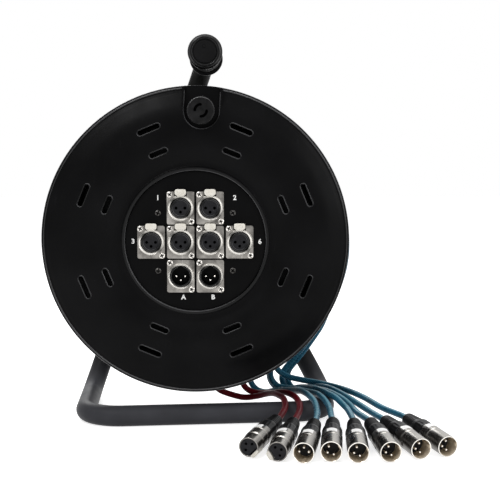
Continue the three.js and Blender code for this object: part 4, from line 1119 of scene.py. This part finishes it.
panel_disc = turned([(0, 2.0), (65.7, 2.0), (65.7, 0.0), (0, 0.0)], 0.35, 128, AXLE)
panel_mesh = carved("panel", panel_disc, [hole(11.9, at, -4, 6) for at in SOCKETS_AT.values()])
piece("panel_disc", panel_mesh, PANEL, "drum", ("panel_plate",))


def screw_shape(radius, height, shank, length):
    """A domed screw head with a cross recess, its underside at depth zero."""
    dome = [(radius * 0.55, -height), (radius, -height * 0.35), (radius, 0), (shank, 0)]
    tip = [(shank, length - 0.5), (shank - 0.4, length), (0, length)]
    head = lathe([(0, -height), dome[0], *soften(dome, 0.35)[1:], *tip], 28)
    arm, half = radius * 0.74, radius * 0.2
    cutters = []
    for w, h in ((arm, half), (half, arm)):
        bar = [(-w, -h), (w, -h), (w, h), (-w, h)]
        cutters.append(prism(bar, -height - 1, -height * 0.25))
    made = carved("screw", head, cutters)
    # The cross recess takes the further finish: painted shade.
    for polygon, x, depth, z in middles(made):
        narrow, wide = sorted((abs(x), abs(z)))
        if narrow < half + 0.02 and wide < arm and depth > 0.05 - height:
            polygon.material_index = 1
    return made


def placed(mesh, places):
    """Copies of a small mesh at points, each turned about its own axis by some degrees."""
    work = bmesh.new()
    for x, depth, z, degrees in places:
        before = len(work.verts)
        work.from_mesh(mesh)
        work.verts.ensure_lookup_table()
        moved = Matrix.Translation(Vector((x, depth, z)) * MILLI)
        turn = Matrix.Rotation(math.radians(degrees), 4, "Y")
        there = TO_FRAME @ moved @ turn @ TO_FRAME.inverted()
        for vertex in work.verts[before:]:
            vertex.co = there @ vertex.co
    made = bpy.data.meshes.new("placed")
    work.to_mesh(made)
    work.free()
    return made


panel_screw = screw_shape(2.8, 1.4, 1.6, 9.0)
for index, (name, (x, z)) in enumerate(PANEL_SCREWS.items()):
    piece(
        "screw_" + name, placed(panel_screw, [(x, -0.3, AXLE_HEIGHT + z, 20 + 37 * index)]),
        DARK_STEEL, "drum", ("panel_screw_" + name,), further=(PAINTED_HOLLOW_SHADE,),
    )

# ---------------------------------------------------------------- sockets
SCREW_SPOTS = ((-10.1, 12.6), (10.1, -12.6))
PIN_RADIUS = 1.15
NOSE_STEP = 0.393  # radians
socket_screw = screw_shape(2.7, 0.8, 1.4, 1.6)


def socket_plate(at, male):
    """The plate with its round opening, and the notch that the release tab sits in."""
    tools = [hole(11.62, at, -9, 3, 64)]
    if not male:
        tools.append(block(11.9, 21, 0.2, (at[0], at[1] + 21.6), -9, -0.15))
    return carved("plate", block(26, 31, 2.2, at, -2.5, -0.3, 0.45, 3), tools)


def socket_ring(at, male):
    """The barrel with its bevelled front ring, open at the top where the tab's neck goes in."""
    ring = turned(
        [
            (9.8, 20.0), (9.8, -3.0), (10.1, -3.9), (11.25, -4.95), (11.6, -4.95), (12.3, -3.6),
            (12.3, -2.6), (11.6, -2.6), (11.6, 21.0), (9.8, 21.0),
        ],
        0.25, 72, at, closed=True,
    )
    if male:
        return shell_mesh("ring", ring)
    return carved("ring", ring, [block(7.7, 21, 0.2, (at[0], at[1] + 21.0), -9, -0.15)])


def female_insert(at):
    """The black insert: a deep ring groove, a shallow dish and three contact holes."""
    body = turned(
        [
            (0, -3.1), (6.9, -3.1), (7.4, -3.9), (8.5, -3.9), (9.1, -3.4), (9.1, 0.5), (9.75, 0.5),
            (9.75, 20.0), (0, 20.0),
        ],
        0.25, 56, at,
    )
    tools = [hole(1.4, (at[0] + x, at[1] + z), -8, 4, 20) for x, z in CONTACTS]
    return carved("insert", body, tools)


def male_insert(at):
    """The deep black cup with a fine raised line round its mouth and the latch notch at its top."""
    body = turned(
        [
            (0, 8.0), (8.0, 8.0), (8.0, -4.0), (8.7, -4.4), (9.0, -4.9), (9.4, -4.9), (9.6, -4.2),
            (9.75, -4.0), (9.75, 20.0), (0, 20.0),
        ],
        0.2, 56, at,
    )
    return carved("cup", body, [block(5.4, 2.6, 0.4, (at[0], at[1] + 9.2), -9.0, -2.6)])


def pins_shape(at, tip, stem):
    """Three pins with round noses, from the depth of their tips and the profile of their stems."""
    nose = []
    for k in range(5):
        angle = k * NOSE_STEP
        nose.append((PIN_RADIUS * math.sin(angle), tip + PIN_RADIUS * (1 - math.cos(angle))))
    made = Shape()
    for x, z in CONTACTS:
        made.add(lathe(nose + stem, 20, (at[0] + x, at[1] + z)))
    return made


def release_tab(at):
    """The release tab: a rounded head with fine ribs across it, on a narrower neck."""
    x, z = at
    tab = prism(box_outline(10.8, 5.9, 2.5, x, z + 14.85, 6), -6.4, -4.3, 0.7, 3)
    tab.add(block(7.0, 4.4, 0.8, (x, z + 13.0), -6.0, -2.0, 0.4))
    for rib in range(6):
        tab.add(block(0.5, 2.8, 0.2, (x - 3.25 + 1.3 * rib, z + 14.9), -6.55, -6.2, 0.1))
    return tab


for name, at in SOCKETS_AT.items():
    male = SOCKETS[name][2]
    piece(
        "socket_plate_" + name, socket_plate(at, male), NICKEL, "drum",
        ("socket_" + name,), 30,
    )
    # The ring carries a painted highlight.
    piece("socket_ring_" + name, socket_ring(at, male), RING, "drum", (), 30)
    insert = piece(
        "socket_insert_" + name, male_insert(at) if male else female_insert(at),
        BLACK if male else INSERT, "drum", (), 30,
    )
    spots = []
    for k, (x, z) in enumerate(SCREW_SPOTS):
        spots.append((at[0] + x, -2.5, at[1] + z, 30 + 40 * k))
    piece(
        "socket_screws_" + name, placed(socket_screw, spots), SCREW, "drum",
        further=(PAINTED_HOLLOW_SHADE,),
    )
    if male:
        dress(insert, RIM, at, lambda out, depth: depth < -4.3 and out > 8.6)
        pins = pins_shape(at, -3.0, [(1.25, -1.2), (1.25, 9.0), (0, 9.0)])
        piece("socket_pins_" + name, pins, BRIGHT, "drum")
        continue
    # The contact holes and the hidden sides take a painted shade, the ring groove the bead finish's
    # painted highlight.
    dress(insert, PAINTED_HOLLOW_SHADE, at, lambda out, depth: depth > -3.0 or out > 9.15)
    dress(insert, BEAD, at, lambda out, depth: depth < -3.2 and 7.0 < out < 9.15)
    piece(
        "tab_ivory_" + name, release_tab(at), IVORY, "release_tab_" + name,
        ("socket_tab_" + name,),
    )

# Printed marks: plain numbers and letters beside the sockets
MARK_SIZE = 6.2
MARK_BEVEL = 0.2
MARK_FLATNESS = 0.1
MARKS = (
    ("1", -35.0, 40.4), ("2", 36.8, 40.4), ("3", -58.4, -0.4), ("6", 60.4, -0.9),
    ("A", -11.4, -53.2), ("B", 16.4, -53.2),
)
for text, x, z in MARKS:
    data = bpy.data.curves.new("mark_" + text, "FONT")
    data.body = text
    data.size = MARK_SIZE * MILLI
    data.bevel_depth = MARK_BEVEL * MILLI
    data.bevel_resolution = 0
    data.align_x = data.align_y = "CENTER"
    helper = linked("helper", data)
    graph = bpy.context.evaluated_depsgraph_get()
    mesh = bpy.data.meshes.new_from_object(helper.evaluated_get(graph))
    bpy.data.objects.remove(helper)
    bpy.data.curves.remove(data)
    flat = Matrix.Scale(MARK_FLATNESS, 4, (0, 0, 1))
    upright = Matrix.Rotation(math.pi / 2, 4, "X")
    mesh.transform(Matrix.Translation(row((x, -0.03, AXLE_HEIGHT + z))) @ upright @ flat)
    piece("mark_" + text, mesh, PRINT, "drum")

# ---------------------------------------------------------------- winding knob
KNOB_SIDES = 144
KNOB_RIBS = 36
KNOB_RIB = 0.55


def knob_shape():
    """A cap with a finely ribbed side and two curved slots in its face."""
    corners = [
        (0, -36), (11.9, -36), (12.2, -34.6), (12.9, -34.2), (12.9, -30), (12.2, -24), (10.8, 2.9),
        (3.3, 2.9), (3.3, -20.3), (0, -20.3),
    ]
    line = soften(corners, [0, 0.9, 0.3, 0.5, 3.0, 3.0, 0.8, 0.3, 0.3, 0], 4)
    body = ribbed(
        lathe(divided(line, 3.0), KNOB_SIDES), -35.0, 1.5, (0.8, 2.0), 10,
        lambda angle, near: KNOB_RIB * near * (math.cos(angle * KNOB_RIBS) - 1) / 2,
    )
    tools = []
    for start in (92, -88):
        end = start + 84
        here, there = arc(5.35, start, end, 1)
        outline = arc(6.6, start, end, 12) + arc(1.25, end, start + 264, 6, *there)
        outline += arc(4.1, end, start, 12) + arc(1.25, start + 180, start + 360, 6, *here)
        tools.append(prism(outline, -40.0, -33.0))
    return carved("knob", body, tools)


knob_mesh = knob_shape()
knob_mesh.transform(Matrix.Translation(Vector((KNOB_AT[0], 0, KNOB_AT[1])) * MILLI))
knob = piece("knob_cap", knob_mesh, KNOB, "knob", ("winding_knob",), 30)
# The two curved slots in the knob's face take a painted shade.
dress(knob, PAINTED_HOLLOW_SHADE, KNOB_AT, lambda out, depth: -35.9 < depth < -32.5 and out < 7.0)
dress(knob, RIM, KNOB_AT, lambda out, depth: -35.9 < depth < -34.5 and out > 11.4)
bolt = turned(
    [(0, -20), (3, -20), (3, 3.2), (5, 3.2), (5, 6.2), (3, 6.2), (3, 9.5), (0, 9.5)],
    [0, 0.5, 0.2, 0.4, 0.4, 0.2, 0.4, 0], 32, KNOB_AT,
)
piece("knob_bolt_turned", bolt, STEEL, "drum", ("knob_bolt",))

# ---------------------------------------------------------------- stand
TUBE_RADIUS = 10.0
TUBE_SIDES = 48
HANDLE_HEIGHT = 358.0
HANDLE_OFFSET = 8.9
HANDLE_AT = (HANDLE_OFFSET, HANDLE_HEIGHT)
REAR_PLANE = 165.0
LEFT_FOOT = -112.8
KNEE_HEIGHT = 60.0
KNEE_OFFSET = 101.0
WELD_BEAD = 1.2
WELD_REACH = 24.0
WELD_STEPS = 16
LEG_SLOPE = (HANDLE_OFFSET - LEFT_FOOT) / (HANDLE_HEIGHT - TUBE_RADIUS)
RIGHT_SLOPE = KNEE_OFFSET / (AXLE_HEIGHT - KNEE_HEIGHT)
WELD_HEIGHT = (LEG_SLOPE * TUBE_RADIUS + RIGHT_SLOPE * AXLE_HEIGHT - LEFT_FOOT) / (
    LEG_SLOPE + RIGHT_SLOPE
)
WELD_POINT = Vector((RIGHT_SLOPE * (AXLE_HEIGHT - WELD_HEIGHT), REAR_PLANE, WELD_HEIGHT))
KNEE = Vector((KNEE_OFFSET, REAR_PLANE, KNEE_HEIGHT))
LEG_RISE = (WELD_POINT - KNEE).normalized()
LEGS_ANGLE = math.atan(LEG_SLOPE) + math.atan(RIGHT_SLOPE)
WELD_STOP = TUBE_RADIUS / math.sin(LEGS_ANGLE) + TUBE_RADIUS / math.tan(LEGS_ANGLE) + FIT
BEND_STEP = 4  # degrees


def bent_path(corners, radii):
    """Straight runs joined by round bends."""
    made = [Vector(corners[0])]
    for before, here, after, radius in zip(corners, corners[1:], corners[2:], radii):
        arrive = (Vector(here) - Vector(before)).normalized()
        leave = (Vector(after) - Vector(here)).normalized()
        turn = arrive.angle(leave)
        inward = (leave - arrive).normalized()
        along = (arrive + leave).normalized()
        centre = Vector(here) + inward * (radius / math.cos(turn / 2))
        steps = max(3, math.ceil(math.degrees(turn) / BEND_STEP))
        for k in range(steps + 1):
            angle = turn * k / steps - turn / 2
            spoke = inward * (radius * math.cos(angle))
            made.append(centre - spoke + along * (radius * math.sin(angle)))
    made.append(Vector(corners[-1]))
    return made


def stand_shape():
    """The bent tube from the handle to the weld, and the weld's collar."""
    corners = [
        (HANDLE_OFFSET, 42.0, HANDLE_HEIGHT), (HANDLE_OFFSET, REAR_PLANE, HANDLE_HEIGHT),
        (LEFT_FOOT, REAR_PLANE, TUBE_RADIUS), (-108.0, 12.0, TUBE_RADIUS),
        (126.0, 34.0, TUBE_RADIUS), (129.0, REAR_PLANE, TUBE_RADIUS), KNEE,
        WELD_POINT - LEG_RISE * WELD_STOP,
    ]
    made = tube(bent_path(corners, [35, 42, 35, 35, 35, 110]), TUBE_RADIUS, TUBE_SIDES)
    start = WELD_POINT - LEG_RISE * WELD_REACH
    reach = (WELD_POINT - start).length
    collar, swell = [], []
    for k in range(WELD_STEPS + 1):
        collar.append(start + LEG_RISE * (reach * k / WELD_STEPS))
        swell.append(TUBE_RADIUS + WELD_BEAD * min(1.0, 0.15 + k * 0.4))
    return made.add(tube(collar, swell, TUBE_SIDES))


piece("stand_frame", stand_shape(), PAINT, "stand", ("stand_tube",))

cap = turned(
    [
        (0, 37.0), (10.6, 37.0), (11.3, 37.6), (12.3, 37.6), (12.3, 36), (14.2, 36), (14.6, 36.4),
        (15.2, 36.5), (16.7, 39.0), (16.7, 51.7), (10.3, 51.7), (10.3, 41.7), (0, 41.7),
    ],
    [0, 0.5, 0.3, 0.3, 0.5, 0.4, 0.3, 0.8, 1.4, 0.8, 0.4, 0.4, 0], 72, HANDLE_AT, 5,
)
cap.add(turned(
    [(0, 36.1), (1.1, 36.1), (1.5, 37.1), (0, 37.1)], [0, 0.5, 0.1, 0], 24,
    (HANDLE_OFFSET - 1.0, HANDLE_HEIGHT + 5.0), 4,
))
end_plug = piece("handle_end_plug", cap, GRIP, "stand", ("handle_cap",))


def on_cap_lines(out, depth):
    """The two fine lines round the end cap: its bevel and the lip of its groove."""
    return depth < 37.5 and (14.1 < out < 15.3 or 12.2 < out < 12.9)


dress(end_plug, RIM, HANDLE_AT, on_cap_lines)
GRIP_RINGS = 13
GRIP_RING_RADIUS = 14.95
GRIP_RING_FROM = 58.0
GRIP_RING_PITCH = 4.8
COLLAR_DROP = 2.4
grip = turned(
    [(10.3, 52.0), (15, 52.0), (15, 128), (10.3, 128)], [0.3, 1.2, 1.2, 0.3], 72, HANDLE_AT, 4,
    closed=True,
)
grip.add(turned(
    [(13.2, 120.6), (16.9, 120.6), (16.9, 127.8), (13.2, 127.8)], [0.3, 1.4, 1.4, 0.3], 72,
    (HANDLE_OFFSET, HANDLE_HEIGHT - COLLAR_DROP), 4, closed=True,
))
for turn in range(GRIP_RINGS):
    middle = Vector((HANDLE_OFFSET, GRIP_RING_FROM + turn * GRIP_RING_PITCH, HANDLE_HEIGHT))
    ring = round_path(middle, SIDEWAYS, UP, GRIP_RING_RADIUS, 48)
    grip.add(tube(ring, 0.45, 8, closed=True))
piece("handle_rubber", grip, GRIP, "stand", ("handle_grip",))

# ---------------------------------------------------------------- axle and hub plate
PLATE_REAR = REAR_PLANE - TUBE_RADIUS - FIT
PLATE_FRONT = PLATE_REAR - 4.0
AXLE_REAR = PLATE_FRONT - FIT
SEAM_STEPS = 60
SEAM_LENGTH = 54.0
axle = turned(
    [(0, 37.2), (8, 37.2), (8, AXLE_REAR), (0, AXLE_REAR)], [0, 1.0, 0.5, 0], 56, AXLE
)
head = prism(arc(14, 0, 300, 5, *AXLE), 37.7, 45.7, 0.9, 3)
washer_line = [(8.0, 45.0), (13.2, 45.0), (13.2, 45.7), (8.0, 45.7)]
washer = turned(washer_line, 0.2, 48, AXLE, 2, closed=True)
piece("axle_turned", axle.add(head).add(washer), STEEL, "stand", ("axle",), 30)

lean = AT_AXLE @ Matrix.Rotation(-math.atan(RIGHT_SLOPE), 4, "Y")
plate = Shape().add(block(46, 60, 4.0, (0, 0), PLATE_FRONT, PLATE_REAR, 0.5), lean)
for side in (-1, 1):
    seam, thickness = [], []
    for k in range(SEAM_STEPS + 1):
        across = side * (9.0 + 0.2 * math.sin(k * 1.9))
        up = SEAM_LENGTH * k / SEAM_STEPS - SEAM_LENGTH / 2
        seam.append(lean @ Vector((across, PLATE_REAR + 0.2, up)))
        thickness.append(1.6 + 0.25 * math.sin(k * 1.3))
    plate.add(tube(seam, thickness, 10))
piece("hub_plate_welded", plate, PAINT, "stand", ("hub_plate",))

# ---------------------------------------------------------------- cable plugs
# Each is drawn along depth with its open end at zero, and in_place() moves it to where it lies.
CLAMP_RIBS = 16
CLAMP_RIB = 0.35
BOOT_FROM = 52.5
BOOT_RUN = 27.0
BOOT_STEPS = 56
BOOT_RADIUS = 8.3
BOOT_TAPER = 1.9
DOME_FROM = 75.5
DOME_RUN = 4.0
DOME_DROP = 1.5
FLEX_RINGS = (56, 76.4)
FLEX_PITCH = 3.4
FLEX_DEPTH = 0.22
PAD_STEP = 7.0  # degrees
PAD_LIFT = 14  # degrees, on the red plugs


def female_plug():
    shell = turned(
        [
            (7.8, 1.2), (7.8, 0), (8.9, 0), (8.9, 13.6), (9.6, 14.9), (9.6, 25.0), (9.25, 25.6),
            (9.25, 26.8), (9.6, 27.4), (9.6, 37.0), (0, 37.0), (0, 14.0), (7.8, 14.0),
        ],
        [0.3, 0.4, 0.5, 0.3, 0.4, 0.2, 0.2, 0.2, 0.2, 0.4, 0, 0, 0.3], 72, closed=True,
    )
    slot = block(9.4, 12.0, 0.3, (0, 11.1), -4.0, 12.3)
    return carved("plug", shell, [slot, block(3.6, 6.0, 0.6, (0, 11.2), 18.0, 23.6)])


def female_face():
    """The black insert in a female plug, with three contact holes."""
    face = turned(
        [(0, 0.9), (5.6, 0.9), (6.2, 0.5), (7.6, 0.5), (7.74, 1.4), (7.74, 14.5), (0, 14.5)],
        [0, 0.2, 0.2, 0.3, 0.2, 0.2, 0], 56,
    )
    tools = [hole(1.3, at, -3, 6, 20) for at in CONTACTS]
    return carved("face", face, [*tools, block(9.4, 12.0, 0.3, (0, 10.9), -4.0, 12.3)])


def male_plug():
    """The shell with its open cup, whose inside and front edge take the further finishes."""
    shell = turned(
        [
            (8.5, 16.2), (8.5, 0), (9.52, 0), (9.52, 22.0), (9.3, 22.6), (9.3, 23.6), (9.55, 24.2),
            (9.55, 37.0), (0, 37.0), (0, 16.4), (8.3, 16.4),
        ],
        [0.4, 0.35, 0.35, 0.2, 0.2, 0.2, 0.2, 0.4, 0, 0, 0.2], 72, closed=True,
    )
    window = block(3.4, 3.0, 0.5, (0, -9.9), 17.5, 22.0)
    key = block(3.0, 1.2, 0.3, (0, 8.2), 0.8, 16.4, 0.2)
    mesh = with_shape(carved("plug", shell, [window]), key)
    # The cup's inside takes the cup finish; the front edge takes the bright nickel, shinier and
    # partly a painted highlight.
    for polygon, x, depth, z in middles(mesh):
        out = math.hypot(x, z)
        if out < 8.7 and 0.5 < depth < 16.6:
            polygon.material_index = 1
        elif depth < 0.5 and out < 9.3:
            polygon.material_index = 2
    return mesh


def male_face():
    """The black floor of a male plug's cup, that the pins stand on."""
    return turned(
        [(0, 14.9), (6.2, 14.9), (6.9, 14.4), (7.5, 14.4), (7.6, 16.3), (0, 16.3)],
        [0, 0.2, 0.2, 0.2, 0, 0], 56,
    )


def plug_boot():
    """The ribbed clamp nut, and the boot with its flex rings and its blunt end."""
    corners = [(0, 37.3), (8.9, 37.3), (9.2, 38.2), (9.2, 51.2), (8.4, 52.0), (0, 52.0)]
    line = divided(soften(corners, [0, 0.3, 0.4, 0.6, 0.4, 0]), 2.2)
    clamp = ribbed(
        lathe(line, 96), 39.0, 50.6, (1.2, 1.2), 8,
        lambda angle, near: -CLAMP_RIB * near * max(0.0, math.cos(angle * CLAMP_RIBS)),
    )
    profile = [(0, 51.5), (BOOT_RADIUS, 51.5)]
    for step in range(BOOT_STEPS + 1):
        depth = BOOT_FROM + BOOT_RUN * step / BOOT_STEPS
        past = max(0.0, (depth - DOME_FROM) / DOME_RUN)
        taper = BOOT_TAPER * (step / BOOT_STEPS) ** 0.9
        radius = BOOT_RADIUS - taper - DOME_DROP * (1 - math.sqrt(1 - past * past))
        if FLEX_RINGS[0] < depth < FLEX_RINGS[1]:
            turns = (depth - FLEX_RINGS[0]) / FLEX_PITCH
            radius += FLEX_DEPTH * (math.cos(TAU * turns) - 1)
        profile.append((radius, depth))
    profile += [(4.9, 79.75), (4.4, 80.0), (0, 80.0)]
    return clamp.add(lathe(profile, 48))


def push_tab():
    outline = soften(
        [(-4.4, 6.4), (4.4, 6.4), (4.4, 8.2), (2.8, 9.9), (-2.8, 9.9), (-4.4, 8.2)],
        [0.5, 0.5, 0.8, 0.8, 0.8, 0.8], 4, closed=True,
    )
    return prism(outline, -0.6, 12.0, 0.5, 3)


def marker_pad():
    """A bare pale pad round the shell near the clamp, where a marking would go."""
    made = Shape()
    rings = []
    for k in range(9):
        angle = math.radians(90 + (k - 4) * PAD_STEP)
        for radius, depth in ((9.75, 28.6), (9.75, 35.8), (9.4, 35.8), (9.4, 28.6)):
            made.points.append((radius * math.cos(angle), depth, radius * math.sin(angle)))
        rings.append(range(4 * k, 4 * k + 4))
    return capped(made, rings)


def in_place(mesh, matrix):
    """A copy of a mesh that was drawn in a plug's own frame, moved to the plug."""
    small = matrix.copy()
    small.translation = matrix.translation * MILLI
    moved = mesh.copy()
    moved.transform(TO_FRAME @ small @ TO_FRAME.inverted())
    return moved


female_meshes = (female_plug(), female_face())
male_meshes = (male_plug(), shell_mesh("face", male_face()))
pins_mesh = shell_mesh("pins", pins_shape((0, 0), 3.0, [(1.15, 16.0), (0, 16.0)]))
boot_mesh = shell_mesh("boot", plug_boot())
pad_mesh = shell_mesh("pad", marker_pad())
tab_mesh = shell_mesh("tab", push_tab())
for name, (_, _, turn, female) in PLUGS.items():
    matrix = plug_matrix(name)[0]
    shell, face = female_meshes if female else male_meshes
    # The shell carries a painted highlight, and a male plug's front edge a brighter nickel that is
    # partly a painted highlight.
    on_cord = [
        piece(
            "plug_metal_" + name, in_place(shell, matrix), SHELL, "stand",
            ("plug_shell_" + name,), 30, further=(CUP, BRIGHT),
        ),
        piece("plug_face_" + name, in_place(face, matrix), INSERT, "stand"),
        piece(
            "plug_clamp_" + name, in_place(boot_mesh, matrix), RUBBER, "stand",
            ("plug_boot_" + name,), 50,
        ),
    ]
    if not female:
        pins = in_place(pins_mesh, matrix)
        on_cord.append(piece("plug_pins_" + name, pins, BRIGHT, "stand"))
    lift = Matrix.Rotation(math.radians(-turn - (PAD_LIFT if female else 0)), 4, "Y")
    pad = in_place(pad_mesh, matrix @ lift)
    on_cord.append(piece("plug_pad_" + name, pad, PRINT, "stand"))
    if female:
        on_cord.append(piece(
            "plug_tab_ivory_" + name, in_place(tab_mesh, matrix), IVORY, "push_tab_" + name,
            ("plug_tab_" + name,),
        ))

# ---------------------------------------------------------------- floor, lights and world
FLOOR_GLOW = 0.72
FLOOR_SIZE = 4.0
WORLD_LIGHT = 0.35
TARGET = (0.03, -0.03, 0.16)  # of the lights, in metres as their places


def bright_rays(tree):
    """One for rays from the camera and from shiny or clear surfaces, nothing for the others."""
    rays = node(tree, "LightPath", {}).outputs
    value = rays["Is Camera Ray"]
    for name in ("Is Glossy Ray", "Is Transmission Ray"):
        value = node(tree, "Math", {0: value, 1: rays[name]}, operation="MAXIMUM").outputs[0]
    return value


def stage_material():
    """A pale floor that the camera sees as white where no shadow falls on it."""
    plain = {"Roughness": 0.9, "Specular IOR Level": 0.1}
    material, tree, shader = started("pale_floor", plain)
    cloud = noise_of(tree, node(tree, "TexCoord", {}).outputs["Object"], 3.0)
    colour = mixed(tree, cloud, (0.84, 0.84, 0.84), (0.88, 0.88, 0.88))
    feed(tree, shader, {"Base Color": colour})
    strength = ranged(tree, bright_rays(tree), 0.0, FLOOR_GLOW, 0.0, 1.0)
    glow = node(tree, "Emission", {"Strength": strength})
    both = node(tree, "AddShader", {0: shader.outputs[0], 1: glow.outputs[0]})
    feed(tree, tree.nodes["Material Output"], {"Surface": both.outputs[0]})
    return material


def make_stage():
    mesh = bpy.data.meshes.new("floor")
    work = bmesh.new()
    bmesh.ops.create_grid(work, x_segments=8, y_segments=8, size=FLOOR_SIZE)
    work.to_mesh(mesh)
    work.free()
    floor = linked("floor", mesh)
    floor.data.materials.append(stage_material())


def make_world():
    world = bpy.data.worlds.new("studio")
    scene.world = world
    world.use_nodes = True
    tree = world.node_tree
    strength = ranged(tree, bright_rays(tree), WORLD_LIGHT, 1.0, 0.0, 1.0)
    feed(tree, tree.nodes["Background"], {"Color": (1, 1, 1, 1), "Strength": strength})


def area_light(name, place, size, power):
    data = bpy.data.lights.new(name, "AREA")
    data.shape = "RECTANGLE"
    data.size, data.size_y = size
    data.energy = power
    light = linked(name, data)
    light.location = place
    light.rotation_euler = (Vector(TARGET) - Vector(place)).to_track_quat("-Z", "Y").to_euler()


make_stage()
make_world()
area_light("key", (-0.7, -1.1, 1.5), (0.8, 0.6), 14.0)
area_light("fill", (1.3, -0.9, 0.7), (0.7, 0.9), 7.0)
area_light("top", (0.1, 0.3, 1.7), (1.2, 0.8), 12.0)
area_light("rear", (-0.4, 1.5, 0.9), (1.0, 0.8), 10.0)
scene.view_settings.view_transform = "Standard"
